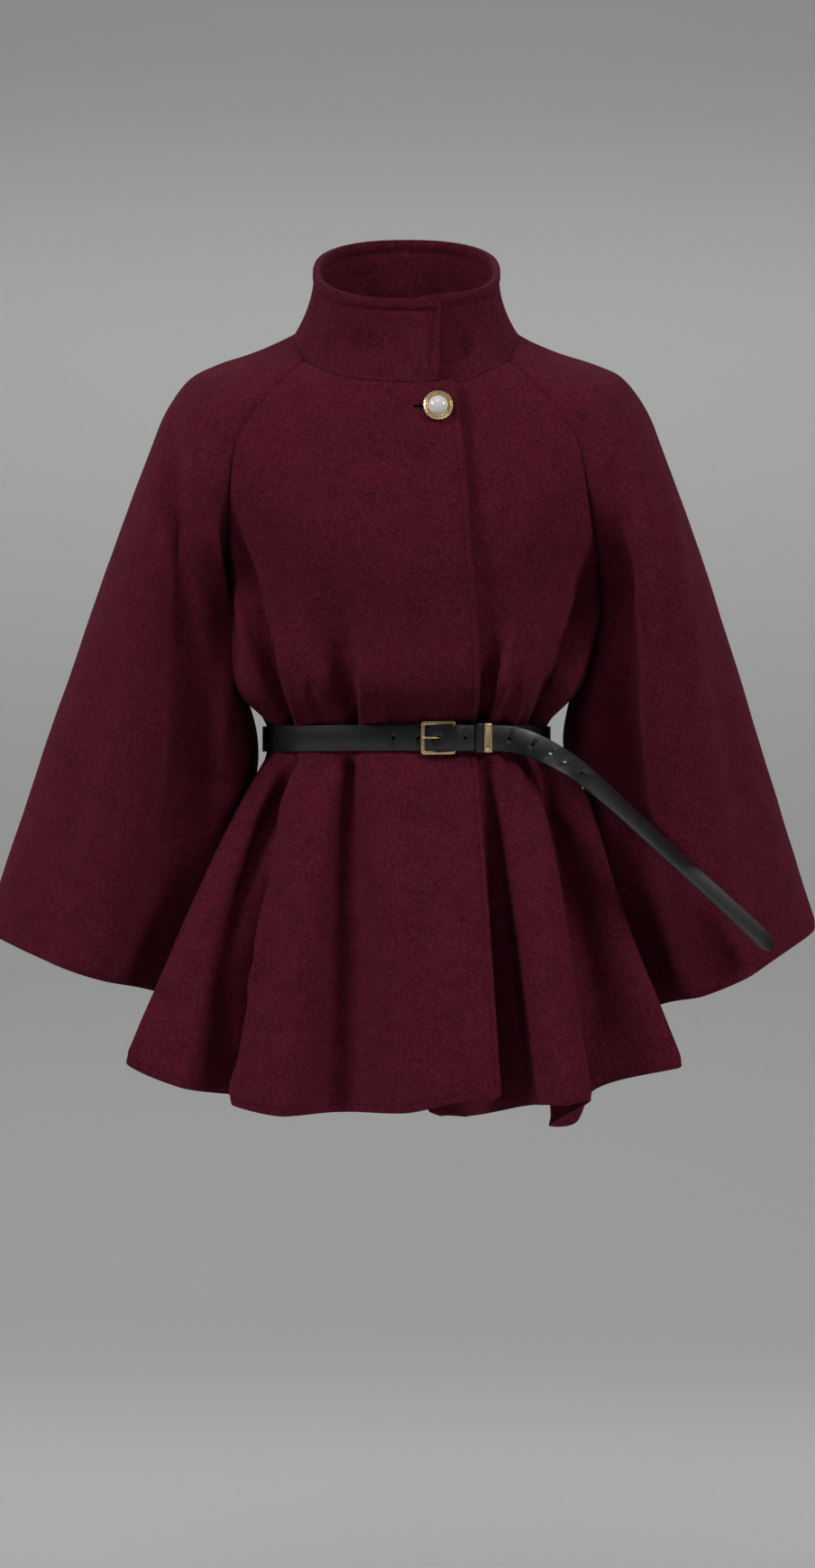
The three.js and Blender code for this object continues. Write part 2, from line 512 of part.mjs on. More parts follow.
// Sewn edges share one direction across the cloth, so that the two sides meet face to face.
const columnOf = (name, end) => (end ? sheets[name].rows[0].length - 1 : 0);
function sew(first, firstEnd, second, secondEnd, fromRow, toRow) {
  for (let r = fromRow; r <= toRow; r++) {
    const a = sheets[first].normals[r];
    const b = sheets[second].normals[r];
    const [i, j] = [columnOf(first, firstEnd), columnOf(second, secondEnd)];
    const shared = a[i].clone().add(b[j]).normalize();
    a[i] = shared;
    b[j] = shared.clone();
  }
}
const hemRow = sheets.back.rows.length - 1;
const cuffRow = YOKE_ROWS + CUFF_ROWS;
sew("front_right", false, "sleeve_right", false, 0, YOKE_ROWS - 1);
sew("back", false, "sleeve_right", true, 0, YOKE_ROWS - 1);
sew("front_left", true, "sleeve_left", false, 0, YOKE_ROWS - 1);
sew("back", true, "sleeve_left", true, 0, YOKE_ROWS - 1);
sew("front_right", false, "back", false, YOKE_ROWS, hemRow);
sew("front_left", true, "back", true, YOKE_ROWS, hemRow);
sew("sleeve_right", false, "sleeve_right", true, YOKE_ROWS, cuffRow);
sew("sleeve_left", false, "sleeve_left", true, YOKE_ROWS, cuffRow);

// The neck seam leans half way between the upright collar and the sloping shoulder.
for (const sheet of Object.values(sheets)) {
  sheet.normals[0] = sheet.rows[0].map((p) => at(p.x, p.y, NECK_LEAN * Math.hypot(p.x, p.y)).normalize());
}

const always = () => true;
const never = () => false;
const aboveUnderarm = (r) => r < YOKE_ROWS;
const sewnEdges = {
  front_right: { left: always, right: never },
  front_left: { left: never, right: always },
  back: { left: always, right: always },
  sleeve_left: { left: aboveUnderarm, right: aboveUnderarm },
  sleeve_right: { left: aboveUnderarm, right: aboveUnderarm },
};

function clothPanel(name) {
  const sheet = sheets[name];
  const closedFrom = name.startsWith("sleeve") ? YOKE_ROWS : Infinity;
  return wallGeometry(drawBack(sheet.rows, sewnEdges[name]), sheet.normals, CLOTH, closedFrom);
}

const group = new THREE.Group();
function addMesh(name, geometry, colour) {
  const mesh = new THREE.Mesh(geometry, new THREE.MeshStandardMaterial(COLOURS[colour]));
  mesh.name = name;
  group.add(mesh);
  return mesh;
}

// The neck seam as one line, from the right front's edge round the back to the left front's edge.
function neckLine() {
  const first = (name) => sheets[name].rows[0].slice();
  const points = [
    ...first("front_right").reverse(), ...first("sleeve_right"), ...first("back"),
    ...first("sleeve_left").reverse(), ...first("front_left").reverse(),
  ];
  let turns = 0;
  let before = 0;
  return points.map((point) => {
    const deg = THREE.MathUtils.radToDeg(Math.atan2(point.x, -point.y));
    if (deg - before > 180) turns -= 360;
    before = deg;
    return { point, deg: deg + turns };
  });
}

// The collar as rows of points, from the neck seam up to the rim.
function collarRows() {
  const line = neckLine();
  const neckAt = (deg) => {
    const k = THREE.MathUtils.clamp(line.findIndex((p) => p.deg <= deg), 1, line.length - 1);
    const [p, q] = [line[k - 1], line[k]];
    return p.point.clone().lerp(q.point, (p.deg - deg) / Math.max(1e-6, p.deg - q.deg));
  };
  const degPerMm = THREE.MathUtils.radToDeg(1 / YOKE[0].chest);
  const rounded = [0, 0.27, 0.6, 1].map((share) => share * COLLAR.cornerRadius);
  const tilt = (COLLAR.rimBackZ - COLLAR.rimFrontZ) / (COLLAR.rimFront + COLLAR.rimBack);
  const columns = rounded.map((fromEnd) => ({ deg: COLLAR.overEndDeg - fromEnd * degPerMm, fromEnd }));
  const lastDeg = COLLAR.underEndDeg - 360;
  const plainFrom = columns[columns.length - 1].deg;
  for (let c = 1; c <= COLLAR.columns; c++) {
    columns.push({ deg: lerp(plainFrom, lastDeg, c / COLLAR.columns), fromEnd: COLLAR.cornerRadius });
  }
  const base = columns.map(({ deg }) => {
    const p = neckAt(deg);
    const flat = Math.hypot(p.x, p.y);
    const lift = at(-NECK_LEAN * p.x / flat, -NECK_LEAN * p.y / flat, 1).setLength(COLLAR_LIFT);
    return p.clone().add(lift);
  });
  const rim = columns.map(({ deg }) => {
    const leaned = radians(deg + COLLAR.endLean * Math.max(0, Math.cos(radians(deg))));
    const [x, y] = [Math.sin(leaned), -Math.cos(leaned)];
    const tucked = 1 - smoothstep(deg + 360, COLLAR.tuckFromDeg, COLLAR.tuckToDeg);
    const depth = y < 0 ? COLLAR.rimFront : COLLAR.rimBack;
    const radius = 1 / Math.hypot(x / COLLAR.rimHalfWidth, y / depth) - (deg < -180 ? COLLAR.tuck * tucked : 0);
    return at(radius * x, radius * y, COLLAR.rimFrontZ + tilt * (COLLAR.rimFront + radius * y));
  });
  const rows = [];
  for (let r = 0; r <= COLLAR.rows; r++) {
    rows.push(columns.map(({ fromEnd }, c) => {
      const short = COLLAR.cornerRadius - fromEnd;
      const cut = COLLAR.cornerRadius - Math.sqrt(COLLAR.cornerRadius ** 2 - short ** 2);
      const top = 1 - cut / (rim[c].z - base[c].z);
      const t = top * (r / COLLAR.rows) ** 1.3;
      const spread = (1 - t) ** COLLAR.bell;
      const z = lerp(base[c].z, rim[c].z, t);
      return at(lerp(rim[c].x, base[c].x, spread), lerp(rim[c].y, base[c].y, spread), z);
    }));
  }
  return rows;
}

// Where a line straight back through x and z first meets a sheet.
function onSheet(name, x, z) {
  const { rows, normals } = sheets[name];
  const sight = new THREE.Ray(at(x, -400, z), at(0, 1, 0));
  for (let r = 0; r < rows.length - 1; r++) {
    for (let c = 0; c < rows[0].length - 1; c++) {
      const [a, b, d, e] = [rows[r][c], rows[r + 1][c], rows[r + 1][c + 1], rows[r][c + 1]];
      const hit = at(0, 0, 0);
      if (sight.intersectTriangle(a, b, d, false, hit) || sight.intersectTriangle(a, d, e, false, hit)) {
        const normal = at(0, 0, 0);
        const corners = [normals[r][c], normals[r + 1][c], normals[r + 1][c + 1], normals[r][c + 1]];
        for (const corner of corners) normal.add(corner);
        return { point: hit, normal: normal.normalize() };
      }
    }
  }
  return null;
}

// A slot with round ends, length along x and cut along z, centred on the origin.
function slotGeometry(length, height, depth) {
  const radius = height / 2;
  const straight = length / 2 - radius;
  const outline = new THREE.Shape();
  outline.absarc(straight, 0, radius, -Math.PI / 2, Math.PI / 2);
  outline.absarc(-straight, 0, radius, Math.PI / 2, 1.5 * Math.PI);
  const slot = new THREE.ExtrudeGeometry(outline, { depth, bevelEnabled: false, curveSegments: 5 });
  return slot.translate(0, 0, -depth / 2);
}

// Turns a geometry's z axis to a normal, keeps its x axis level, and moves it to a point.
function poseOn(geometry, point, normal) {
  const across = at(0, 0, 1).cross(normal).normalize();
  const up = normal.clone().cross(across);
  const pose = new THREE.Matrix4().makeBasis(across, up, normal).setPosition(point);
  return geometry.applyMatrix4(pose);
}

function withButtonhole(geometry) {
  const middle = onSheet("front_right", (BUTTONHOLE.fromX + BUTTONHOLE.toX) / 2, BUTTON.z);
  const slot = slotGeometry(BUTTONHOLE.toX - BUTTONHOLE.fromX, BUTTONHOLE.height, 5 * CLOTH);
  return geometryOf(solidOf(geometry).subtract(solidOf(poseOn(slot, middle.point, middle.normal))));
}

// A closed solid of revolution round z from a closed profile of radius and height. ripple pushes the
// radius in and out round it.
function turned(profile, sides, ripple = () => 1) {
  const corners = [];
  const point = ([radius, height], k) => {
    const turn = 2 * Math.PI * (k % sides) / sides;
    const r = radius * ripple(k % sides, radius);
    return at(r * Math.cos(turn), r * Math.sin(turn), height);
  };
  for (let k = 0; k < sides; k++) {
    for (let i = 0; i < profile.length; i++) {
      const [p, q] = [profile[i], profile[(i + 1) % profile.length]];
      const [a, b, c, d] = [point(p, k), point(p, k + 1), point(q, k + 1), point(q, k)];
      if (p[0] > 0) corners.push(a, b, c);
      if (q[0] > 0) corners.push(a, c, d);
    }
  }
  return facingOut(new THREE.BufferGeometry().setFromPoints(corners));
}

function buttonPieces() {
  const over = onSheet("front_right", BUTTON.x, BUTTON.z);
  const under = onSheet("front_left", BUTTON.x, BUTTON.z);
  const { rimRadius, wallRadius, pearlRadius, pearlHeight, plate, beads, clearance, slack } = BUTTON;
  const middle = (rimRadius + wallRadius) / 2;
  const rim = turned([
    [0, 0], [rimRadius - 1, 0], [rimRadius, 0.9], [rimRadius, 1.9], [rimRadius - 0.9, 2.7],
    [middle, 1.9], [middle - 0.5, beads + 0.9], [wallRadius + 0.4, beads + 0.7], [wallRadius, beads],
    [wallRadius, plate], [0, plate],
  ], 2 * BUTTON.ribs, (k, radius) => (radius > rimRadius - 1.1 && k % 2 ? 1 - BUTTON.ribDepth / rimRadius : 1));
  const seat = plate + slack;
  const dome = [0, 0.25, 0.5, 0.72, 0.9, 1].map((share) => {
    const lean = share * Math.PI / 2;
    return [pearlRadius * Math.cos(lean), seat + 0.9 + pearlHeight * Math.sin(lean)];
  });
  dome[dome.length - 1][0] = 0;
  const pearl = turned([[0, seat], [pearlRadius - 0.5, seat], ...dome], 24);
  const reach = over.point.clone().addScaledVector(over.normal, clearance - slack);
  const between = over.point.clone().sub(under.point).dot(under.normal);
  const foot = over.point.clone().addScaledVector(over.normal, slack + 0.5 - between);
  const shank = new THREE.CylinderGeometry(BUTTON.shankRadius, BUTTON.shankRadius, reach.distanceTo(foot), 10);
  shank.rotateX(Math.PI / 2);
  const seatPoint = over.point.clone().addScaledVector(over.normal, clearance);
  return {
    button_rim: poseOn(rim, seatPoint, over.normal),
    button_pearl: poseOn(pearl, seatPoint, over.normal),
    button_shank: poseOn(shank, reach.clone().lerp(foot, 0.5), over.normal),
  };
}

// A closed tube from loops of points, one loop for each step along it.
function loftGeometry(loops) {
  const corners = [];
  const sides = loops[0].length;
  for (let k = 0; k + 1 < loops.length; k++) {
    for (let i = 0; i < sides; i++) {
      const j = (i + 1) % sides;
      corners.push(loops[k][i], loops[k + 1][i], loops[k + 1][j], loops[k][i], loops[k + 1][j], loops[k][j]);
    }
  }
  for (let i = 1; i + 1 < sides; i++) {
    const end = loops[loops.length - 1];
    corners.push(loops[0][0], loops[0][i], loops[0][i + 1], end[0], end[i + 1], end[i]);
  }
  return facingOut(new THREE.BufferGeometry().setFromPoints(corners));
}

// The strap's middle line with its width direction at each step.
function strapPath() {
  const bar = onBelt({ x: BUCKLE.rightBarX, off: BUCKLE.lift });
  const outward = onBelt({ x: BUCKLE.rightBarX, off: BUCKLE.lift + 1 }).sub(bar).setZ(0).normalize();
  const along = at(-outward.y, outward.x, 0);
  const loop = [-90, -135, 180, 135, 90].map((deg) => bar.clone()
    .addScaledVector(along, BAR_LOOP.radius * Math.cos(radians(deg)))
    .addScaledVector(outward, BAR_LOOP.radius * Math.sin(radians(deg))));
  const round = [];
  for (let deg = 62; deg <= 342; deg += 14) {
    const p = waistPoint(deg, STRAP.thick / 2 + 0.5);
    round.push(p.setZ(beltZ(p.y)));
  }
  const stops = [
    ...FOLDED_END.map(onBelt), ...loop, ...BUCKLE_END.map(onBelt), ...round, ...THROUGH_BUCKLE.map(onBelt),
  ].map((point) => ({ point, turnDeg: 0 }));
  for (const { x, y, z, turnDeg } of TAIL) stops.push({ point: at(x, y, z), turnDeg });
  const curve = new THREE.CatmullRomCurve3(stops.map((stop) => stop.point), false, "centripetal");
  const steps = (stops.length - 1) * STRAP.steps;
  const path = [];
  for (let k = 0; k <= steps; k++) {
    const share = k / STRAP.steps;
    const i = Math.min(Math.floor(share), stops.length - 2);
    const f = share - i;
    const point = curve.getPoint(k / steps);
    const tangent = curve.getTangent(k / steps);
    const turn = radians(lerp(stops[i].turnDeg, stops[i + 1].turnDeg, f));
    const up = at(0, 0, 1);
    if (turn > 0) up.addScaledVector(tangent, -tangent.z).normalize();
    const back = at(0, 1, 0).addScaledVector(tangent, -tangent.y).normalize();
    const width = up.multiplyScalar(Math.cos(turn)).addScaledVector(back, Math.sin(turn)).normalize();
    const normal = tangent.clone().cross(width).normalize();
    path.push({ point, width, normal });
  }
  return path;
}

function strapLoops(path) {
  const end = path[path.length - 1].point;
  return path.map(({ point, width, normal }, k) => {
    const toEnd = k > path.length - 12 ? point.distanceTo(end) : Infinity;
    const share = smoothstep(toEnd, -4, STRAP.pointLength);
    const half = lerp(STRAP.endWidth, STRAP.width, Math.min(1, share)) / 2;
    const thick = STRAP.thick / 2;
    return [[half, thick], [half, -thick], [-half, -thick], [-half, thick]].map(([w, n]) => point.clone()
      .addScaledVector(width, w).addScaledVector(normal, n));
  });
}

// Where along the strap a hole at x goes: on the turn through the buckle or on the free end.
function strapStep(path, x, from, to) {
  let best = path[from];
  for (const step of path.slice(from, to)) {
    if (Math.abs(step.point.x - x) < Math.abs(best.point.x - x)) best = step;
  }
  return best;
}

function strapSolid() {
  const path = strapPath();
  const frontFrom = path.length - (TAIL.length + THROUGH_BUCKLE.length + 1) * STRAP.steps;
  const tailFrom = path.length - TAIL.length * STRAP.steps - 1;
  const cuts = [];
  const punch = (step) => {
    const hole = new THREE.CylinderGeometry(HOLE.radius, HOLE.radius, 2 * STRAP.thick, HOLE.sides);
    cuts.push(solidOf(poseOn(hole.rotateX(Math.PI / 2), step.point, step.normal)));
  };
  for (const x of WAIST_HOLES_X) punch(strapStep(path, x, frontFrom, tailFrom));
  for (const x of TAIL_HOLES_X) punch(strapStep(path, x, tailFrom, path.length));
  const middle = strapStep(path, (PRONG_HOLE.fromX + PRONG_HOLE.toX) / 2, frontFrom, tailFrom);
  const slit = slotGeometry(PRONG_HOLE.toX - PRONG_HOLE.fromX, PRONG_HOLE.height, 6 * STRAP.thick);
  const facing = at(middle.normal.x, middle.normal.y, 0).normalize();
  cuts.push(solidOf(poseOn(slit, middle.point, facing)));
  const slotX = (BAR_LOOP.slotFromX + BAR_LOOP.slotToX) / 2;
  const slotWidth = BAR_LOOP.slotToX - BAR_LOOP.slotFromX;
  const slot = new THREE.BoxGeometry(slotWidth, BAR_LOOP.slotHeight, BAR_LOOP.slotTop + 1);
  const onFace = onBelt({ x: slotX, off: BAR_LOOP.slotTop });
  const inFront = onFace.sub(onBelt({ x: slotX, off: 0 })).setZ(0).normalize();
  cuts.push(solidOf(poseOn(slot, onBelt({ x: slotX, off: (BAR_LOOP.slotTop - 1) / 2 }), inFront)));
  return geometryOf(cuts.reduce((strap, cut) => strap.subtract(cut), solidOf(loftGeometry(strapLoops(path)))));
}

// The buckle: a flat rounded frame across the two bar lines, and the prong on its right bar.
function bucklePose() {
  const left = onBelt({ x: BUCKLE.leftBarX, off: BUCKLE.lift });
  const right = onBelt({ x: BUCKLE.rightBarX, off: BUCKLE.lift });
  const middle = left.clone().lerp(right, 0.5);
  const across = right.clone().sub(left).setZ(0).normalize();
  return { middle, outward: at(across.y, -across.x, 0), width: left.distanceTo(right) };
}

function roundedRectangle(path, halfWidth, halfHeight, corner) {
  const [w, h] = [halfWidth - corner, halfHeight - corner];
  path.absarc(w, h, corner, 0, Math.PI / 2);
  path.absarc(-w, h, corner, Math.PI / 2, Math.PI);
  path.absarc(-w, -h, corner, Math.PI, 1.5 * Math.PI);
  path.absarc(w, -h, corner, 1.5 * Math.PI, 2 * Math.PI);
  return path;
}

function buckleFrame() {
  const { middle, outward, width } = bucklePose();
  const bevel = 0.5;
  const [halfWidth, halfHeight] = [(width + BUCKLE.bar) / 2 - bevel, BUCKLE.height / 2 - bevel];
  const outer = roundedRectangle(new THREE.Shape(), halfWidth, halfHeight, BUCKLE.corner - bevel);
  const window = [(width - BUCKLE.bar) / 2 + bevel, BUCKLE.height / 2 - BUCKLE.bar + bevel];
  outer.holes.push(roundedRectangle(new THREE.Path(), window[0], window[1], 1 + bevel));
  const frame = new THREE.ExtrudeGeometry(outer, {
    depth: BUCKLE.depth - 2 * bevel, bevelThickness: bevel, bevelSize: bevel, bevelSegments: 2, curveSegments: 4,
  });
  return poseOn(frame.translate(0, 0, bevel - BUCKLE.depth / 2), middle, outward);
}

function bucklePin() {
  const curve = new THREE.CatmullRomCurve3(PRONG_LINE.map(onBelt), false, "centripetal");
  const steps = 2 * (PRONG_LINE.length - 1);
  const loops = [];
  for (let k = 0; k <= steps; k++) {
    const point = curve.getPoint(k / steps);
    const side = curve.getTangent(k / steps).cross(at(0, 0, 1)).normalize();
    const radius = PRONG.radius * (k === steps ? 0.6 : 1);
    const loop = [];
    for (let i = 0; i < PRONG.sides; i++) {
      const turn = 2 * Math.PI * i / PRONG.sides;
      loop.push(point.clone().addScaledVector(side, radius * Math.cos(turn)).add(at(0, 0, radius * Math.sin(turn))));
    }
    loops.push(loop);
  }
  const half = PRONG.loopHeight / 2;
  const [inner, outer] = [PRONG.loopInner, PRONG.loopOuter];
  const loop = turned([[inner, -half], [outer, -half], [outer, half], [inner, half]], 14);
  const bar = onBelt({ x: BUCKLE.rightBarX, off: BUCKLE.lift });
  return geometryOf(solidOf(loftGeometry(loops)).add(solidOf(loop.translate(bar.x, bar.y, bar.z))));
}

// A keeper: a rectangular band round both layers of the strap, following the waist.
function keeperGeometry(keeper) {
  const section = (x, grow) => {
    const [low, high] = [keeper.inner - grow, keeper.outer + grow];
    const tall = keeper.halfHeight + grow;
    const ease = 0.35 * grow;
    return [
      [low, tall - ease], [low + ease, tall], [high - ease, tall], [high, tall - ease],
      [high, ease - tall], [high - ease, -tall], [low + ease, -tall], [low, ease - tall],
    ].map(([off, up]) => onBelt({ x, off }).add(at(0, 0, up)));
  };
  const stops = [keeper.fromX, (keeper.fromX + keeper.toX) / 2, keeper.toX];
  const body = solidOf(loftGeometry(stops.map((x) => section(x, keeper.wall))));
  const reach = [keeper.fromX - 2, stops[1], keeper.toX + 2];
  return body.subtract(solidOf(loftGeometry(reach.map((x) => section(x, 0)))));
}

function metalKeeper() {
  const { margin, depth } = KEEPER_RECESS;
  const { fromX, toX, wall, outer, halfHeight } = METAL_KEEPER;
  const middleX = (fromX + toX) / 2;
  const face = onBelt({ x: middleX, off: outer + wall });
  const outward = face.clone().sub(onBelt({ x: middleX, off: 0 })).setZ(0).normalize();
  const recess = new THREE.BoxGeometry(toX - fromX - 2 * margin, 2 * (halfHeight - margin), 2 * depth);
  return geometryOf(keeperGeometry(METAL_KEEPER).subtract(solidOf(poseOn(recess, face, outward))));
}

for (const name of Object.keys(sheets)) {
  const panel = clothPanel(name);
  addMesh(name, name === "front_right" ? withButtonhole(panel) : panel, "wool");
}
const collar = collarRows();
const collarNormals = sheetNormals(collar, 1);
collarNormals[0] = collar[0].map((p) => at(p.x, p.y, NECK_LEAN * Math.hypot(p.x, p.y)).normalize());
addMesh("collar", wallGeometry(collar, collarNormals, COLLAR_CLOTH), "wool");
const button = buttonPieces();
addMesh("button_rim", button.button_rim, "gold");
addMesh("button_pearl", button.button_pearl, "pearl");
addMesh("button_shank", button.button_shank, "thread");
addMesh("belt_strap", strapSolid(), "leather");
addMesh("buckle_frame", buckleFrame(), "gold");
addMesh("buckle_prong", bucklePin(), "gold");
addMesh("keeper_leather", geometryOf(keeperGeometry(LEATHER_KEEPER)), "leather");
addMesh("keeper_metal", metalKeeper(), "gold");

export default group;
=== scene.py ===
# %% [markdown]
# # A belted wool cape coat
# The coat is cut from felted wool: two fronts, a back, two wide raglan sleeves and a stand collar.
# A leather belt gathers it at the waist, and one pearl button closes the neck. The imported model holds
# every piece at its real size, so each sheet of cloth here is bent onto the same form, only finer.

# %% Load the frame
import json

import bmesh
import bpy
import numpy as np
from mathutils import Matrix, Vector, noise
from mathutils.bvhtree import BVHTree


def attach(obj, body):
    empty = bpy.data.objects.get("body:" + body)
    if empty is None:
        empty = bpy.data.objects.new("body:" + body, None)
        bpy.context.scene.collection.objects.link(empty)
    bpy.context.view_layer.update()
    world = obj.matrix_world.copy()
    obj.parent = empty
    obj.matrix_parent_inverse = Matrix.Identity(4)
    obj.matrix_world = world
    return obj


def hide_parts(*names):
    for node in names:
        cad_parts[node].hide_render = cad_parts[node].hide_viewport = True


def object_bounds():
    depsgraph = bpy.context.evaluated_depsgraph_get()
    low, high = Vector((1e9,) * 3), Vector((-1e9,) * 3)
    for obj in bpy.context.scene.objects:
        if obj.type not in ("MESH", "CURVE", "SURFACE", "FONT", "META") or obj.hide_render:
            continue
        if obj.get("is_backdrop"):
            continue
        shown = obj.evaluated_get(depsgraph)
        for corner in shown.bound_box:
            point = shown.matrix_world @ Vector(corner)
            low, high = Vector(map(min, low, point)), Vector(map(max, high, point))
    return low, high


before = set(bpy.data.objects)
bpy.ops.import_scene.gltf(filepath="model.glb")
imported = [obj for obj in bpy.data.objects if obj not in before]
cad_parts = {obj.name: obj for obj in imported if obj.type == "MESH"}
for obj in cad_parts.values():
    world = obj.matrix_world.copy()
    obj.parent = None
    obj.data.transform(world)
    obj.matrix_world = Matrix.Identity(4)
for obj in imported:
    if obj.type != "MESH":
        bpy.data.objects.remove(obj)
cad_box = [list(corner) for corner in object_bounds()]
MM = 0.001
print("nodes:", ", ".join(sorted(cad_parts)))

# %% [markdown]
# ## Camera, backdrop and light
# A coat is photographed from far off with a long lens, so that its sleeves don't bulge. The camera
# stands 8 m away and a little above the belt. The backdrop is one sheet that runs down a wall and out
# over the floor. It could be two planes, but the bevelled corner leaves no line behind the coat. Its
# paint holds painted light: palest at the foot of the wall, as a pool of studio light, and darker up
# the wall and far out on the floor.

# %% Camera
PIXEL = 0.86
PHOTO_HEIGHT = 1740 * PIXEL * MM
CAMERA_DISTANCE = 8.0
CAMERA_RISE = np.radians(5.5)
CAMERA_AIM = Vector((PIXEL * MM, 0, -423 * MM))
SENSOR = 24.0

lens = bpy.data.cameras.new("camera")
lens.sensor_fit = "VERTICAL"
lens.sensor_height = SENSOR
lens.lens = SENSOR * CAMERA_DISTANCE / PHOTO_HEIGHT
camera = bpy.data.objects.new("camera", lens)
camera.location = CAMERA_AIM + CAMERA_DISTANCE * Vector((0, -np.cos(CAMERA_RISE), np.sin(CAMERA_RISE)))
camera.rotation_euler = (np.pi / 2 - CAMERA_RISE, 0, 0)
bpy.context.scene.collection.objects.link(camera)
bpy.context.scene.camera = camera
bpy.context.scene.view_settings.view_transform = "Standard"
print(f"camera: {lens.lens:.1f} mm lens at {camera.location.y:.2f} m")

# %% [markdown]
# ## Paint written as sums
# A finish is a web of nodes, and one node at a time hides what they add up to. So one small class
# holds a node's output and turns a sum or product into Math nodes, and another holds the material.

# %% Shader helpers
class Wire:
    """A node's output that sums and products can be written with."""

    def __init__(self, paint, socket):
        self.paint = paint
        self.socket = socket

    def maths(self, operation, first, second):
        return self.paint.node("ShaderNodeMath", {"operation": operation}, {0: first, 1: second})

    def __add__(self, other):
        return self.maths("ADD", self, other)

    def __sub__(self, other):
        return self.maths("SUBTRACT", self, other)

    def __rsub__(self, other):
        return self.maths("SUBTRACT", other, self)

    def __mul__(self, other):
        return self.maths("MULTIPLY", self, other)

    __radd__ = __add__
    __rmul__ = __mul__


class Paint:
    """A material round one Principled shader."""

    def __init__(self, name, **plain):
        self.material = bpy.data.materials.new(name)
        self.material.use_nodes = True
        self.tree = self.material.node_tree
        self.shader = self.tree.nodes["Principled BSDF"]
        for socket, value in plain.items():
            self.set(socket.replace("_", " "), value)
        self.place = self.node("ShaderNodeTexCoord", out="Object")

    def set(self, socket, value):
        self.feed(self.shader.inputs[socket], value)

    def feed(self, socket, value):
        if isinstance(value, Wire):
            self.tree.links.new(value.socket, socket)
        else:
            socket.default_value = value

    def node(self, kind, settings=None, sockets=None, out=0):
        made = self.tree.nodes.new(kind)
        for name, value in (settings or {}).items():
            setattr(made, name, value)
        for name, value in (sockets or {}).items():
            self.feed(made.inputs[name], value)
        return Wire(self, made.outputs[out])

    def grain(self, size, detail=2.0, rough=0.5, warp=0.0):
        sockets = {"Scale": 1 / size, "Detail": detail, "Roughness": rough, "Distortion": warp}
        return self.node("ShaderNodeTexNoise", None, {"Vector": self.place, **sockets})

    def between(self, value, low, high):
        sockets = {"Value": value, "From Min": low, "From Max": high}
        return self.node("ShaderNodeMapRange", {"interpolation_type": "SMOOTHSTEP"}, sockets)

    def mix(self, share, first, second):
        return self.node("ShaderNodeMix", {"data_type": "RGBA"}, {0: share, 6: first, 7: second}, out=2)

    def bump(self, height, strength, distance):
        sockets = {"Height": height, "Strength": strength, "Distance": distance}
        self.set("Normal", self.node("ShaderNodeBump", None, sockets))


# %% Backdrop
STAGE = {"half_width": 14.0, "front": -12.0, "back": 9.6, "floor": -1.32, "height": 9.0, "corner": 3.5}


def only(kind, geometry):
    return [item for item in geometry if isinstance(item, kind)]


def backdrop():
    mesh = bmesh.new()
    left = mesh.verts.new((-STAGE["half_width"], STAGE["front"], STAGE["floor"]))
    right = mesh.verts.new((STAGE["half_width"], STAGE["front"], STAGE["floor"]))
    edge = mesh.edges.new((left, right))
    corner = None
    for step in (Vector((0, STAGE["back"] - STAGE["front"], 0)), Vector((0, 0, STAGE["height"]))):
        corner = edge
        grown = bmesh.ops.extrude_edge_only(mesh, edges=[edge])["geom"]
        bmesh.ops.translate(mesh, verts=only(bmesh.types.BMVert, grown), vec=step)
        edge = only(bmesh.types.BMEdge, grown)[0]
    bmesh.ops.bevel(
        mesh, geom=[corner], offset=STAGE["corner"], segments=16, profile=0.5,
        affect="EDGES", material=-1,
    )
    return finished("backdrop", mesh, paper.material)


def shown(name, data, material):
    data.shade_smooth()
    data.materials.append(material)
    piece = bpy.data.objects.new(name, data)
    bpy.context.scene.collection.objects.link(piece)
    return piece


def finished(name, mesh, material):
    """A bmesh as an object at the origin, with its material."""
    data = bpy.data.meshes.new(name)
    mesh.to_mesh(data)
    mesh.free()
    return shown(name, data, material)


paper = Paint("backdrop_paper", Roughness=0.9)
height = paper.node("ShaderNodeSeparateXYZ", None, {"Vector": paper.place}, out=2)
away = paper.node("ShaderNodeSeparateXYZ", None, {"Vector": paper.place}, out=1)
# The paper's colour is painted light: palest at the foot of the wall, as a pool of studio light, and
# darker up the wall and far back on the floor, as the light falls off.
floor = paper.mix(paper.between(away, 1.2, 2.4), (0.55, 0.55, 0.552, 1), (0.43, 0.43, 0.432, 1))
painted_pool_low_wall = paper.mix(paper.between(height, -1.3, -0.45), floor, (0.58, 0.58, 0.582, 1))
painted_light_tone = paper.mix(paper.between(height, -0.4, 0.3), painted_pool_low_wall, (0.365, 0.365, 0.367, 1))
paper.set("Base Color", paper.mix(paper.grain(1.2) * 0.1, painted_light_tone, (0.6, 0.6, 0.6, 1)))
backdrop()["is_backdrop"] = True

# %% Lights
COAT_MIDDLE = (0, 0, -0.4)
LIGHTS = [
    # name, place, size across, watts, aim
    ("left", (-3.7, -2.0, 2.6), 1.6, 122, COAT_MIDDLE),
    ("right", (3.7, -2.1, 2.4), 1.6, 99, COAT_MIDDLE),
    ("top_front", (-0.3, -2.4, 3.9), 1.4, 22, COAT_MIDDLE),
    ("behind_left", (-2.8, 3.4, 2.9), 1.4, 38, COAT_MIDDLE),
    ("behind_right", (2.8, 3.4, 2.9), 1.4, 32, COAT_MIDDLE),
    ("wall_wash", (0.0, 5.6, 5.2), 4.0, 200, (0, 9.6, -0.6)),
    ("floor_wash", (0.0, 3.4, 4.6), 2.0, 12, (0, 3.4, -1.3)),
]
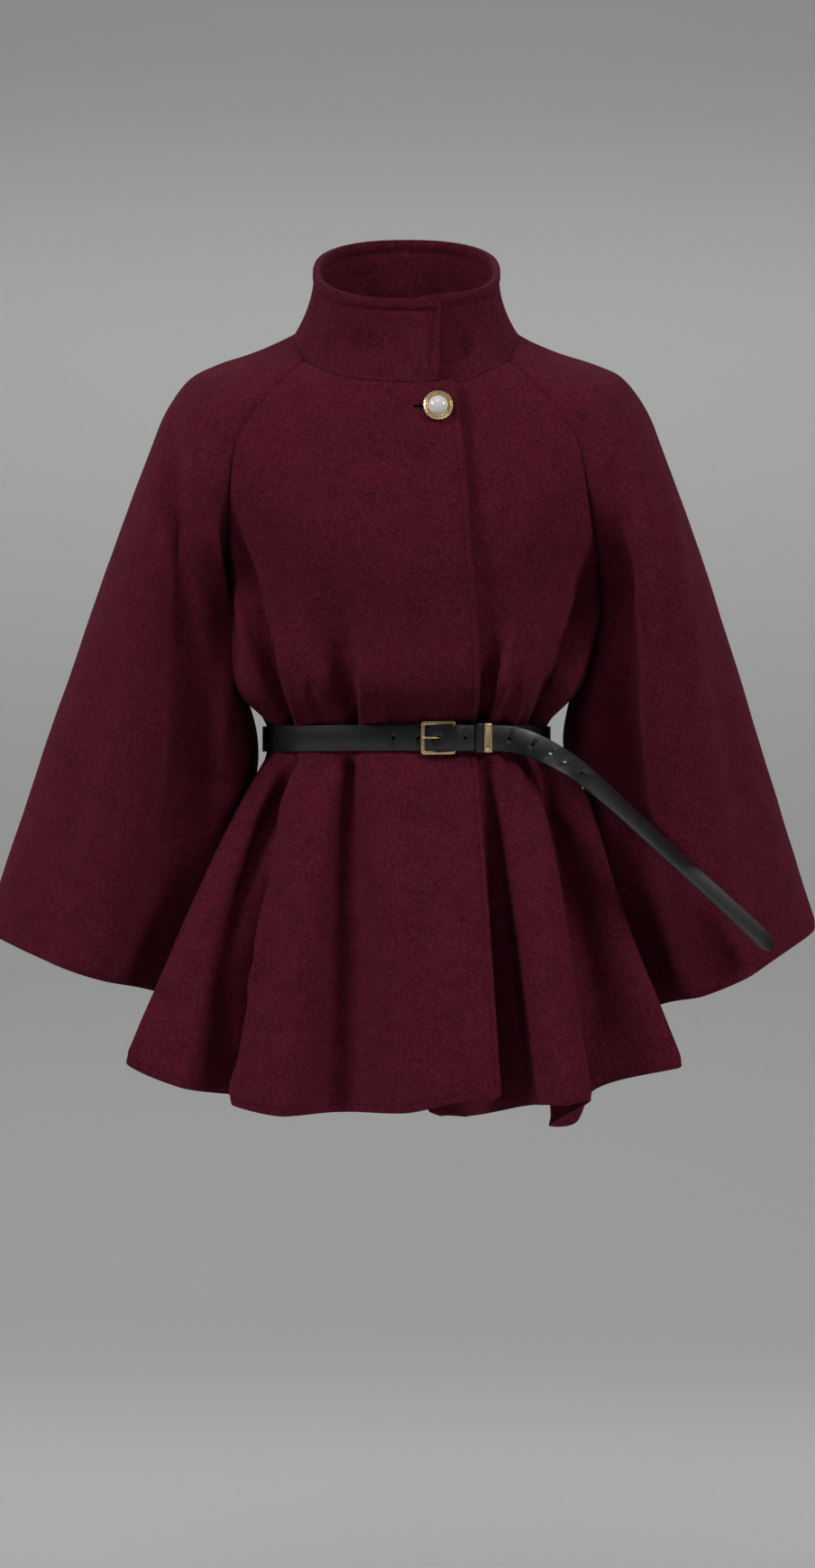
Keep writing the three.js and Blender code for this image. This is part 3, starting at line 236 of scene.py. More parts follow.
for name, place, size, watts, aim in LIGHTS:
    lamp = bpy.data.lights.new(name, "AREA")
    lamp.shape = "DISK"
    lamp.size = size
    lamp.energy = watts
    light = bpy.data.objects.new(name, lamp)
    light.location = place
    light.rotation_euler = (Vector(aim) - light.location).to_track_quat("-Z", "Y").to_euler()
    bpy.context.scene.collection.objects.link(light)
print("lights:", len(LIGHTS))
world = bpy.data.worlds.new("studio")
world.use_nodes = True
sky = world.node_tree.nodes["Background"].inputs
sky["Color"].default_value = (0.8, 0.82, 0.85, 1)
sky["Strength"].default_value = 0.012
bpy.context.scene.world = world

# %% [markdown]
# ## Felted wool
# The cloth is brushed and felted, so no weave shows: short curled fibres, some of them paler, lie all
# over a deep wine ground. Noise alone looks like sand. The thin bright lines where a noise crosses its
# middle value look like curled fibres, so two sizes of those lines are laid over soft mottling, and
# the nap's glow at the edges comes from sheen. The collar's wool is painted a shade darker all over,
# which is painted shade.

# %% Wool
WINE = (0.1, 0.0079, 0.0196, 1)
WINE_DARK = (0.044, 0.003, 0.008, 1)
FIBRE_PALE = (0.29, 0.046, 0.085, 1)


def wool_paint(name, shade=1.0):
    # A shade below 1 darkens the ground colours: painted shade, used on the collar.
    dark, deep = (tuple(c * shade for c in colour[:3]) + (1,) for colour in (WINE_DARK, WINE))
    paint = Paint(name, Roughness=0.95, Sheen_Weight=0.035, Sheen_Roughness=0.45)
    paint.set("Sheen Tint", (0.95, 0.42, 0.5, 1))
    paint.set("Specular IOR Level", 0.06)
    mottling = paint.grain(22 * MM, 2, 0.5)
    tufts = paint.grain(3.0 * MM, 3, 0.65, 0.6)
    fine = paint.grain(1.2 * MM, 2, 0.6, 1.0)
    long_curls = paint.grain(4.4 * MM, 1, 0.4, 2.0)
    short_curls = paint.grain(2.6 * MM, 1, 0.4, 2.4)

    def ridge(curls, width):
        off = paint.node("ShaderNodeMath", {"operation": "ABSOLUTE"}, {0: curls - 0.5})
        return paint.between(off, width, 0.0)

    fibres = ridge(long_curls, 0.03) * paint.between(tufts, 0.45, 0.62)
    fuzz = ridge(short_curls, 0.035) * paint.between(fine, 0.4, 0.65)
    ground = paint.mix(paint.between(tufts * 0.75 + mottling * 0.25, 0.32, 0.62), dark, deep)
    ground = paint.mix(paint.between(fine, 0.35, 0.75) * 0.3, ground, FIBRE_PALE)
    paint.set("Base Color", paint.mix(fibres * 0.75 + fuzz * 0.5, ground, FIBRE_PALE))
    paint.bump(tufts * 0.5 + fine * 0.35 + fibres * 0.3 + fuzz * 0.2, 0.9, 1.2 * MM)
    return paint.material


wool = wool_paint("wool")
# The collar's colour is darkened to 0.8 as painted shade.
collar_wool = wool_paint("collar_wool", 0.8)
print("wool nodes:", len(wool.node_tree.nodes))

# %% [markdown]
# ## The form of the cloth
# The panels hang from the neck and shoulders, are drawn in at the belt, and flare below it in folds.
# A cloth simulation would find its own folds, not these, so each panel is bent onto sections: rings
# round the yoke, one line per fold at the blouse, the belt and the hem, and rings down the sleeves.
# The tables have a row for each section or fold, in millimetres and degrees.

# %% Tables
def table(columns, *rows):
    return dict(zip(columns.split(), np.array(rows, float).T))


CLOTH = 3.0
NECK_LEAN = 0.75
RING_POWER = 2.3
OVERLAP_DROP, OVERLAP_FADE = 6.0, (3, 36)
WAIST_HALF_WIDTH, WAIST_DEPTH = 135.0, 98.0
BELT_Z, BELT_TILT, BELT_GRIP = -380.0, -0.103, 13.0
BLOUSE_Z, BLOUSE_TILT = -328.0, -0.06
SKIRT_FLARE = 0.87

YOKE = table(
    "seam_x front_seam_z back_seam_z ridge_x ridge_z arm_deg arm_front arm_back chest back"
    " edge_x front_z back_z",
    (96, -16, 12, 108, 3, 32, 100, 100, 103, 85, 45, -34, 22),
    (111, -27, -5, 148, -13, 44, 96, 98, 112, 100, 49, -58, 0),
    (126, -42, -22, 181, -24, 57, 94, 98, 119, 110, 52, -84, -26),
    (142, -59, -43, 206, -37, 71, 95, 99, 125, 116, 55, -112, -56),
    (160, -90, -76, 227, -66, 88, 98, 101, 131, 119, 58, -142, -92),
    (166, -133, -126, 241, -98, 108, 103, 103, 135, 118, 60, -175, -136),
    (169, -186, -184, 258, -142, 138, 105, 105, 136, 115, 63, -208, -188),
    (173, -242, -242, 280, -203, 180, 106, 106, 132, 112, 66, -242, -242),
)
SLEEVE_RINGS = table(
    "outer_x outer_z inner_x inner_z half_depth centre_y",
    (280, -203, 173, -242, 106, 0),
    (301, -264, 164, -308, 106, 9),
    (323, -330, 149, -380, 106, 20),
    (346, -400, 156, -457, 106, 31),
    (372, -480, 172, -541, 107, 40),
    (400, -566, 190, -631, 108, 46),
)
SLEEVE_FOLDS = table(
    "at top cuff width",
    (-146, 2, 4, 13), (-118, -8, -14, 19), (-84, 4, 8, 22), (-38, 0, -6, 20),
    (48, 0, -8, 20), (82, 3, 7, 20), (122, -6, -12, 20),
)
SLEEVE_SWING = 6.0
CUFF_HANG = {"left": (16.0, 9.0), "right": (2.0, 2.5)}
FOLD_COLUMNS = "chest_deg blouse_x blouse_y belt_deg belt_dip hem_x hem_y hem_z"
RIGHT_FRONT = table(
    FOLD_COLUMNS,
    (-90, -151, 4, -90, 0.6, -172, 24, -690),
    (-72, -162, -54, -72, 0.2, -267, -98, -678),
    (-61, -142, -80, -64, 0.4, -212, -122, -699),
    (-54, -121, -83, -57, 2.6, -150, -84, -713),
    (-47, -108, -101, -50, 0.2, -166, -138, -713),
    (-37, -88, -113, -40, 0.2, -118, -172, -719),
    (-23, -57, -109, -24, 2.6, -62, -144, -719),
    (-13, -38, -127, -15, 0.2, 0, -180, -715),
    (0, 14, -126, 4, 0.4, 48, -176, -706),
    (18, 69, -121, 29, 0.6, 89, -178, -703),
)
LEFT_FRONT = table(
    FOLD_COLUMNS,
    (0, 12, -117, 5, 6.5, 17, -152, -722),
    (10, 44, -114, 18, 6.5, 62, -148, -722),
    (21, 74, -104, 31.5, 6, 112, -110, -718),
    (27, 85, -119, 37, 0.4, 126, -164, -710),
    (36, 103, -110, 46, 0.2, 150, -181, -707),
    (46, 118, -103, 55, 0.2, 175, -163, -705),
    (53, 123, -86, 60, 2.6, 139, -120, -735),
    (58, 130, -80, 63.5, 2.4, 162, -98, -735),
    (64, 139, -76, 67.5, 1.4, 176, -92, -706),
    (74, 160, -54, 74, 0.2, 262, -98, -681),
    (90, 151, 4, 90, 0.6, 172, 24, -690),
)
BACK = table(
    FOLD_COLUMNS,
    (-90, -151, 4, -90, 0.6, -172, 24, -690),
    (-66, -144, 62, -68, 0.2, -180, 118, -698),
    (-50, -112, 84, -52, 2.6, -142, 112, -704),
    (-37, -92, 107, -38, 0.2, -128, 170, -708),
    (-22, -52, 108, -23, 2.6, -70, 143, -711),
    (-5, -14, 119, -6, 0.2, -14, 192, -713),
    (12, 31, 110, 12, 2.4, 44, 149, -712),
    (31, 78, 111, 32, 0.2, 112, 178, -709),
    (48, 109, 86, 50, 2.6, 141, 114, -704),
    (67, 144, 62, 68, 0.2, 180, 118, -698),
    (90, 151, 4, 90, 0.6, 172, 24, -690),
)

# %% Curves through the tables
def ease(value, low, high):
    share = np.clip((value - low) / (high - low), 0, 1)
    return share * share * (3 - 2 * share)


def blend(first, second, share):
    return first + (second - first) * share


def swell(off, width):
    """1 on a line, and less on both sides of it, as a bell curve."""
    return np.exp(-((off / width) ** 2))


def unit(vectors):
    return vectors / np.linalg.norm(vectors, axis=-1, keepdims=True)


def smooth_column(values, k):
    """A table's column as a smooth function of the row number."""
    last = len(values) - 1
    i = np.clip(np.floor(k).astype(int), 0, last - 1)
    f = k - i

    def value(j):
        return values[np.clip(j, 0, last)]

    before = (value(i + 1) - value(i - 1)) / np.where(i > 0, 2, 1)
    after = (value(i + 2) - value(i)) / np.where(i + 2 <= last, 2, 1)
    return (
        value(i) * (2 * f**3 - 3 * f**2 + 1) + value(i + 1) * (3 * f**2 - 2 * f**3)
        + before * (f**3 - 2 * f**2 + f) + after * (f**3 - f**2)
    )


def smooth_row(rows, k):
    return {name: smooth_column(values, k) for name, values in rows.items()}


def span(p0, p1, p2, p3, w):
    """One stretch of a centripetal spline, from p1 to p2."""
    def gap(a, b):
        return np.sum((a - b) ** 2, axis=-1, keepdims=True) ** 0.25

    d0, d1, d2 = gap(p0, p1), gap(p1, p2), gap(p2, p3)
    leave = ((p1 - p0) / d0 - (p2 - p0) / (d0 + d1) + (p2 - p1) / d1) * d1
    reach = ((p2 - p1) / d1 - (p3 - p1) / (d1 + d2) + (p3 - p2) / d2) * d1
    square = -3 * p1 + 3 * p2 - 2 * leave - reach
    cube = 2 * p1 - 2 * p2 + leave + reach
    return p1 + (leave + (square + cube * w) * w) * w


def spline(stops, share):
    stops = np.asarray(stops, float)
    ends = np.concatenate([[2 * stops[0] - stops[1]], stops, [2 * stops[-1] - stops[-2]]])
    k = share * (len(stops) - 1)
    i = np.minimum(np.floor(k).astype(int), len(stops) - 2)
    return span(ends[i], ends[i + 1], ends[i + 2], ends[i + 3], (k - i)[:, None])


# %% The yoke
def ring_deg(x, half_width):
    share = np.minimum(1, np.abs(x) / half_width)
    return np.sign(x) * np.degrees(np.arcsin(share ** (RING_POWER / 2)))


def yoke_at(v):
    """The yoke from 0 at the neck seam to 1 at the underarm."""
    row = smooth_row(YOKE, v * (len(YOKE["chest"]) - 1))
    reach = np.maximum(0, np.sin(np.radians(row["arm_deg"])))
    row["front_seam_y"] = row["arm_front"] * reach
    row["back_seam_y"] = row["arm_back"] * reach
    return row


def body_yoke(v, share, from_x, to_x, side):
    """The front or back between its raglan seams. side is -1 at the front and 1 at the back."""
    row = yoke_at(v)
    face = "front" if side < 0 else "back"
    depth = row["chest" if side < 0 else "back"]
    seam_y, seam_z, middle_z = row[face + "_seam_y"], row[face + "_seam_z"], row[face + "_z"]
    half = row["seam_x"] / (1 - np.minimum(0.999, seam_y / depth) ** RING_POWER) ** (1 / RING_POWER)
    start, end = ring_deg(from_x(row), half), ring_deg(to_x(row), half)
    turn = np.radians(start[:, None] + np.outer(end - start, share))
    x = half[:, None] * np.sign(turn) * np.abs(np.sin(turn)) ** (2 / RING_POWER)
    y = depth[:, None] * np.abs(np.cos(turn)) ** (2 / RING_POWER)
    edge = (seam_y / depth)[:, None]
    rise = np.clip((y / depth[:, None] - edge) / (1 - edge), 0, 1)
    z = blend(seam_z[:, None], middle_z[:, None], rise)
    return np.stack([x, side * y, z], axis=-1)


# %% The belt line
def waist_point(deg, off):
    turn = np.radians(deg)
    x = WAIST_HALF_WIDTH * np.sin(turn)
    y = -WAIST_DEPTH * np.cos(turn)
    nx, ny = x / WAIST_HALF_WIDTH**2, y / WAIST_DEPTH**2
    length = np.hypot(nx, ny)
    return x + off * nx / length, y + off * ny / length


def belt_z(y):
    return BELT_Z + BELT_TILT * y


# %% Body panels
ROWS = {"yoke": 66, "blouse": 30, "belt": 6, "skirt": 96}
SLEEVE_ROWS = {"yoke": ROWS["yoke"], "cuff": 96}
COLUMNS = {"front_right": 162, "front_left": 144, "back": 170, "sleeve": 168}
ABOVE_UNDERARM = 7 / 8


def body_panel(folds, columns, side, from_x, to_x, drop=None):
    """A panel's outer face as an array of points, from the neck down to the hem."""
    across = np.linspace(0, 1, columns + 1)
    chest = smooth_column(folds["chest_deg"], across * (len(folds["chest_deg"]) - 1))
    share = (chest - chest[0]) / (chest[-1] - chest[0])
    blouse_z = BLOUSE_Z + BLOUSE_TILT * folds["blouse_y"]
    blouse = spline(np.stack([folds["blouse_x"], folds["blouse_y"], blouse_z], -1), across)
    belt_x, belt_y = waist_point(folds["belt_deg"], -folds["belt_dip"])
    belt = spline(np.stack([belt_x, side * np.abs(belt_y), 0 * belt_x], -1), across)
    belt[:, 2] = belt_z(belt[:, 1])
    hem = spline(np.stack([folds["hem_x"], folds["hem_y"], folds["hem_z"]], -1), across)
    lift = np.array([0, 0, BELT_GRIP])
    levels = np.append(np.linspace(0, 1, ROWS["yoke"] + 1), ABOVE_UNDERARM)
    yoke = body_yoke(levels, share, from_x, to_x, side)
    if drop:
        yoke = yoke + drop(yoke, levels)
    above, yoke = yoke[-1], yoke[:-1]
    seam = yoke_at(np.array([ABOVE_UNDERARM]))
    for end in (0, -1):
        if abs(abs(above[end, 0]) - seam["seam_x"][0]) < 0.01:
            above[end, 1:] = 0, (seam["front_seam_z"][0] + seam["back_seam_z"][0]) / 2
    rows = list(yoke)
    for k in np.linspace(1, 3, ROWS["blouse"] + 1)[1:]:
        if k <= 2:
            rows.append(span(above, yoke[-1], blouse, belt + lift, k - 1))
        else:
            rows.append(span(yoke[-1], blouse, belt + lift, 2 * (belt + lift) - blouse, k - 2))
    for k in np.linspace(1, -1, ROWS["belt"] + 1)[1:-1]:
        rows.append(belt + k * lift)
    for v in np.linspace(0, 1, ROWS["skirt"] + 1):
        out = v**SKIRT_FLARE
        rows.append(blend(belt - lift, hem, np.array([out, out, v])))
    return np.array(rows)


def under_front(points, levels):
    """How far the left front drops under the right one where they overlap."""
    edge = yoke_at(levels)["edge_x"][:, None]
    share = 1 - ease(points[..., 0], edge + OVERLAP_FADE[0], edge + OVERLAP_FADE[1])
    lean = blend(NECK_LEAN, 0, np.minimum(1, 2 * levels))[:, None] * np.ones_like(share)
    return OVERLAP_DROP * share[..., None] * np.stack([0 * lean, 1 + 0 * lean, -lean], -1)


# %% Sleeves
SLEEVE_IN_YOKE = 0.3
SLEEVE_FOLDS_FULL = 0.62


def sleeve_ring(outer, inner, back_z, front_depth, back_depth, arm_deg, centre_y, v, columns):
    across = outer - inner
    half = np.linalg.norm(across) / (1 - np.cos(np.radians(arm_deg)))
    across = across / np.linalg.norm(across)
    deg = np.linspace(-arm_deg, arm_deg, columns + 1)
    turn = np.radians(deg)
    points = np.zeros((columns + 1, 3))
    points[:, [0, 2]] = outer + np.outer(half * (np.cos(turn) - 1), across)
    points[:, 1] = centre_y + np.where(deg < 0, front_depth, back_depth) * np.sin(turn)
    points[:, 2] += np.where(deg > 0, (back_z - inner[1]) * (deg / arm_deg) ** 2, 0)
    push = np.zeros(columns + 1)
    for at, top, cuff, width in zip(*SLEEVE_FOLDS.values()):
        push += blend(top, cuff, v) * swell(deg - at, width)
    push *= ease(v, SLEEVE_IN_YOKE, SLEEVE_FOLDS_FULL)
    points[:, [0, 2]] += np.outer(push * np.cos(turn), across)
    points[:, 1] += push * np.sin(turn)
    return points


def sleeve_panel(columns, swing, hang):
    """The left sleeve's outer face, from the front seam over the ridge to the back seam."""
    rows = []
    for v in np.linspace(0, 1, SLEEVE_ROWS["yoke"] + 1):
        row = {name: values[0] for name, values in yoke_at(np.array([v])).items()}
        outer = np.array([row["ridge_x"], row["ridge_z"]])
        inner = np.array([row["seam_x"], row["front_seam_z"]])
        depths = row["arm_front"], row["arm_back"]
        rows.append(sleeve_ring(
            outer, inner, row["back_seam_z"], *depths, row["arm_deg"], 0, SLEEVE_IN_YOKE * v, columns,
        ))
    for v in np.linspace(0, 1, SLEEVE_ROWS["cuff"] + 1)[1:]:
        ring = smooth_row(SLEEVE_RINGS, np.array(v * (len(SLEEVE_RINGS["outer_x"]) - 1)))
        outer = np.array([ring["outer_x"] + swing * v, ring["outer_z"]])
        inner = np.array([ring["inner_x"], ring["inner_z"] - hang[0] * v * v])
        depth, centre = ring["half_depth"], ring["centre_y"]
        down = SLEEVE_IN_YOKE + (1 - SLEEVE_IN_YOKE) * v
        row = sleeve_ring(outer, inner, inner[1], depth, depth, 180, centre, down, columns)
        aside = np.abs(row[:, 1] - centre) / depth
        row[:, 2] -= hang[1] * v * v * np.minimum(1, aside**2)
        rows.append(row)
    return np.array(rows)


# %% [markdown]
# ## The sheets
# Each sheet is worked out once as an array of points with a direction out of the cloth at each. Sewn
# edges share one direction, so that the two walls meet face to face along the seam.

# %% Work out the sheets
def neighbours_apart(points, axis):
    """The step from the point before to the point after, at each point of a row or column."""
    at, last = np.arange(points.shape[axis]), points.shape[axis] - 1
    after, before = np.minimum(at + 1, last), np.maximum(at - 1, 0)
    return np.take(points, after, axis) - np.take(points, before, axis)


def sheet_normals(points, turn):
    return unit(turn * np.cross(neighbours_apart(points, 0), neighbours_apart(points, 1)))


def distances(points, axis):
    """Each point's distance from both ends of its row or column, measured over the sheet."""
    steps = np.linalg.norm(np.diff(points, axis=axis), axis=-1)
    first = np.cumsum(np.insert(steps, 0, 0, axis=axis), axis=axis)
    return first, np.take(first, [-1], axis=axis) - first


def along_rows(points):
    return distances(points, 1)


def along_columns(points):
    return distances(points, 0)


def neck_normals(points):
    """Where cloth meets the neck seam it leans in, as a neck does."""
    out = points[0] * np.array([1, 1, 0])
    out[:, 2] = NECK_LEAN * np.hypot(out[:, 0], out[:, 1])
    return unit(out)


def seam_x(sign):
    return lambda row: sign * row["seam_x"]


BULGES = [
    {"x": 172, "z": -232, "across": 45, "above": 90, "below": 90, "by": 13, "on": "front"},
    {"x": 160, "z": -436, "across": 38, "above": 30, "below": 130, "by": 14, "on": "all"},
    {"x": 150, "z": -410, "across": 24, "above": 10, "below": 30, "by": 7, "on": "all"},
    {"x": -156, "z": -400, "across": 34, "above": 60, "below": 70, "by": 8, "on": "sleeve_right"},
]
BULGE_FADE = 60


def bulged(points, name):
    """The coat hangs fuller on its left, and its right sleeve lies closer to the belt."""
    out = points.copy()
    for bulge in BULGES:
        across = (points[..., 0] - bulge["x"]) / bulge["across"]
        up = points[..., 2] - bulge["z"]
        down = up / np.where(up > 0, bulge["above"], bulge["below"])
        share = np.exp(-(across**2) - down**2)
        if bulge["on"] == "front":
            share = share * ease(-points[..., 1], 0, BULGE_FADE)
        elif bulge["on"] not in ("all", name):
            continue
        out[..., 0] += bulge["by"] * share
    return out


CORNER_REACH = 3


def rounded_corner(sheet, end, radius):
    """Rounds a free corner at the hem: the last rows draw in from the edge."""
    points = sheet["points"]
    distance = along_rows(points)[0 if end == 0 else 1]
    above = along_columns(points)[1]
    cut = radius - np.sqrt(np.maximum(0, radius**2 - np.maximum(0, radius - above) ** 2))
    beside = 1 if end == 0 else -2
    inward = unit(points[:, beside] - points[:, end])
    share = np.clip(1 - distance / (CORNER_REACH * radius), 0, 1)
    points += inward[:, None] * (cut * share)[..., None]


MIRROR = np.array([-1, 1, 1])
HIDDEN_EDGE_X = 8
HEM_CORNERS = {"front_right": (-1, 8), "front_left": (0, 15)}


def front_edge(row):
    return row["edge_x"]


def hidden_edge(row):
    return HIDDEN_EDGE_X + 0 * row["chest"]


def bent_panels():
    """Each panel's points, and which way its rows and columns turn."""
    wide = COLUMNS["sleeve"]
    yield "front_right", 1, body_panel(RIGHT_FRONT, COLUMNS["front_right"], -1, seam_x(-1), front_edge)
    yield "front_left", 1, body_panel(
        LEFT_FRONT, COLUMNS["front_left"], -1, hidden_edge, seam_x(1), under_front,
    )
    yield "back", -1, body_panel(BACK, COLUMNS["back"], 1, seam_x(-1), seam_x(1))
    yield "sleeve_left", 1, sleeve_panel(wide, -SLEEVE_SWING, CUFF_HANG["left"])
    yield "sleeve_right", -1, sleeve_panel(wide, SLEEVE_SWING, CUFF_HANG["right"]) * MIRROR


SHEETS = {}
for name, turn, points in bent_panels():
    SHEETS[name] = {"points": bulged(points, name)}
    if name in HEM_CORNERS:
        rounded_corner(SHEETS[name], *HEM_CORNERS[name])
    SHEETS[name]["normals"] = sheet_normals(SHEETS[name]["points"], turn)

UNDERARM = ROWS["yoke"]
SEAMS = [
    ("front_right", 0, "sleeve_right", 0, "yoke"), ("back", 0, "sleeve_right", -1, "yoke"),
    ("front_left", -1, "sleeve_left", 0, "yoke"), ("back", -1, "sleeve_left", -1, "yoke"),
    ("front_right", 0, "back", 0, "side"), ("front_left", -1, "back", -1, "side"),
    ("sleeve_right", 0, "sleeve_right", -1, "side"), ("sleeve_left", 0, "sleeve_left", -1, "side"),
]
for first, i, second, j, where in SEAMS:
    part = slice(0, UNDERARM) if where == "yoke" else slice(UNDERARM, None)
    a, b = SHEETS[first]["normals"], SHEETS[second]["normals"]
    a[part, i] = b[part, j] = unit(a[part, i] + b[part, j])
for name, sheet in SHEETS.items():
    sheet["normals"][0] = neck_normals(sheet["points"])
    print(f"{name}: {sheet['points'].shape[0]} x {sheet['points'].shape[1]} points")

# %% [markdown]
# ## Creases
# Under the belt the cloth is pinched into sharp little valleys, and above it blouses over in soft
# ones. They could be sculpted by hand or simulated. Here each is a short path down the cloth, with its
# depth and width at every stop, so that they stay as uneven as they are on the coat. A stop has x and
# z as seen from the front or the back. Depth is negative in a valley.

# %% Creases, listed one by one
CREASES = {
    "front_right": {-1: [
        [(-164, -142, 0, 8), (-156, -186, -5, 8), (-145, -234, -10, 8), (-131, -286, -14, 8),
         (-119, -333, -15, 7), (-112, -362, -12, 5)],
        [(-166, -150, 0, 7), (-161, -190, 5, 7), (-157, -240, 7, 8), (-150, -290, 5, 8),
         (-141, -330, 0, 8)],
        [(-148, -160, 0, 8), (-138, -195, 2.5, 8), (-128, -240, 4.5, 8), (-117, -290, 5.5, 7),
         (-107, -336, 5, 6), (-102, -362, 3, 5)],
        [(-68, -196, 0, 22), (-65, -240, -6, 20), (-61, -276, -10, 18), (-57, -314, -12, 12),
         (-53, -345, -13, 7), (-52, -364, -12, 4.5)],
        [(-44, -276, 0, 7), (-42, -310, 3.5, 7), (-42, -345, 4.5, 5), (-45, -364, 2, 4)],
        [(-94, -305, 0, 5), (-90, -325, -3.5, 4.5), (-85, -345, -4, 4.5), (-82, -362, -3, 4)],
        [(-20, -330, 0, 4), (-18, -350, -3, 4), (-17, -364, -4, 4)],
        [(12, -322, 0, 4), (13, -345, -2.5, 4), (15, -364, -3.5, 4)],
        [(-16, -215, 0, 34), (-8, -285, -6, 28), (-4, -350, -4, 16)],
        [(-107, -394, -9, 5), (-118, -430, -14, 7.5), (-137, -470, -15, 11),
         (-152, -520, -14, 14), (-167, -575, -11, 18), (-178, -690, -6, 20)],
        [(-103, -394, 0, 5), (-111, -424, 3, 5.5), (-126, -497, 5, 7), (-139, -582, 5, 8),
         (-153, -657, 4, 9), (-164, -700, 3, 10)],
        [(-55, -394, -14, 5), (-56, -430, -17, 9), (-55, -490, -17, 14), (-55, -580, -15, 17),
         (-56, -700, -10, 18)],
        [(-84, -394, -3, 4.5), (-88, -420, -2.4, 7), (-92, -460, 0, 10)],
        [(-20, -394, -3, 4.5), (-16, -424, -2, 7), (-10, -470, 0, 10)],
        [(20, -394, -2.2, 4.5), (24, -420, -1.6, 7), (30, -460, 0, 10)],
    ]},
    "front_left": {-1: [
        [(94, -240, 0, 9), (88, -280, -4, 8), (79, -320, -10, 7), (68, -362, -13, 5)],
        [(110, -245, 0, 9), (101, -280, 3, 8), (91, -318, 4.5, 6), (81, -350, 3, 5)],
        [(112, -290, 0, 4.5), (109, -315, 3, 4.5), (104, -345, 4, 4.5), (101, -364, 3, 4)],
        [(100, -305, 0, 4.5), (96, -335, -3, 4.5), (92, -360, -4, 4)],
        [(176, -196, 0, 12), (167, -245, -12, 11), (153, -288, -15, 11), (134, -322, -15, 8),
         (119, -358, -13, 5.5)],
        [(162, -205, 0, 8), (152, -245, 3.5, 8), (139, -286, 4.5, 7), (123, -326, 4, 6),
         (110, -360, 2, 4)],
        [(184, -206, 0, 9), (180, -240, 6, 9), (172, -276, 7, 9), (154, -318, 6, 8), (130, -356, 4, 6)],
        [(94, -394, -3.4, 4.5), (100, -430, -2.6, 7), (106, -480, 0, 10)],
        [(112, -394, -3, 4.5), (120, -424, -2, 7), (128, -460, 0, 9)],
        [(128, -394, -9, 5), (137, -444, -13, 7), (147, -484, -14, 10), (158, -530, -13, 13),
         (166, -570, -9, 15), (178, -640, -4, 16)],
    ]},
    "back": {1: [
        [(-150, -200, 0, 10), (-136, -250, -8, 10), (-120, -300, -12, 9), (-106, -352, -12, 6)],
        [(-60, -262, 0, 10), (-55, -306, -9, 9), (-52, -352, -12, 5.5)],
        [(-30, -300, 0, 5), (-32, -326, 3, 5), (-34, -352, 3.4, 5)],
        [(24, -250, 0, 11), (26, -300, -9, 9), (29, -352, -12, 5.5)],
        [(58, -306, 0, 4.5), (56, -330, -3, 4.5), (54, -352, -4, 4)],
        [(142, -214, 0, 10), (130, -258, -8, 10), (116, -300, -12, 9), (103, -352, -12, 6)],
        [(-104, -400, -11, 5.5), (-110, -440, -13, 9), (-122, -530, -9, 15), (-134, -650, -3, 20)],
        [(-52, -400, -12, 5.5), (-55, -440, -14, 10), (-61, -530, -10, 17), (-68, -670, -3, 24)],
        [(-8, -402, -3, 4.5), (-8, -430, -2, 7), (-10, -466, 0, 9)],
        [(28, -402, -12, 5.5), (32, -442, -14, 10), (38, -530, -10, 17), (42, -660, -3, 24)],
        [(74, -402, -3, 4.5), (78, -432, -2, 7), (84, -470, 0, 9)],
        [(103, -400, -11, 5.5), (110, -440, -13, 9), (124, -530, -9, 15), (136, -650, -3, 20)],
    ]},
    "sleeve_left": {
        -1: [
            [(194, -75, 0, 14), (197, -133, -8, 15), (201, -243, -19, 17), (202, -310, -22, 18),
             (208, -430, -20, 20), (228, -575, -7, 28)],
            [(232, -70, 0, 14), (240, -120, 3, 14), (259, -222, 4, 16), (290, -380, 2, 20)],
            [(284, -250, 0, 22), (312, -400, -5, 26), (340, -570, -6, 28)],
        ],
        1: [
            [(192, -120, 0, 14), (198, -240, -10, 17), (210, -400, -14, 20), (232, -570, -10, 24)],
            [(250, -220, 0, 24), (276, -360, -5, 26), (316, -560, -6, 30)],
        ],
    },
    "sleeve_right": {
        -1: [
            [(-222, -64, 0, 16), (-221, -104, -8, 17), (-216, -178, -18, 18),
             (-210, -266, -22, 18), (-208, -400, -20, 20), (-230, -575, -7, 30)],
            [(-203, -70, 0, 10), (-196, -104, 4, 10), (-185, -178, 11, 10), (-177, -250, 14, 11),
             (-174, -340, 12, 12), (-178, -430, 5, 15)],
            [(-266, -230, 0, 24), (-288, -340, -4, 26), (-322, -470, -6, 30), (-352, -590, -4, 32)],
        ],
        1: [
            [(-194, -120, 0, 14), (-200, -250, -10, 17), (-212, -410, -14, 20), (-236, -580, -10, 24)],
            [(-254, -240, 0, 24), (-280, -380, -5, 26), (-318, -560, -6, 30)],
        ],
    },
}
print("creases:", sum(len(paths) for sides in CREASES.values() for paths in sides.values()))


def nearest(points, normals, x, z, side):
    """The row and column of the point at x and z, seen from the front (-1) or the back (1)."""
    hidden = np.where(normals[..., 1] * side > 0, 0, 1e6)
    apart = (points[..., 0] - x) ** 2 + (points[..., 2] - z) ** 2 + hidden
    return np.unravel_index(np.argmin(apart), apart.shape)


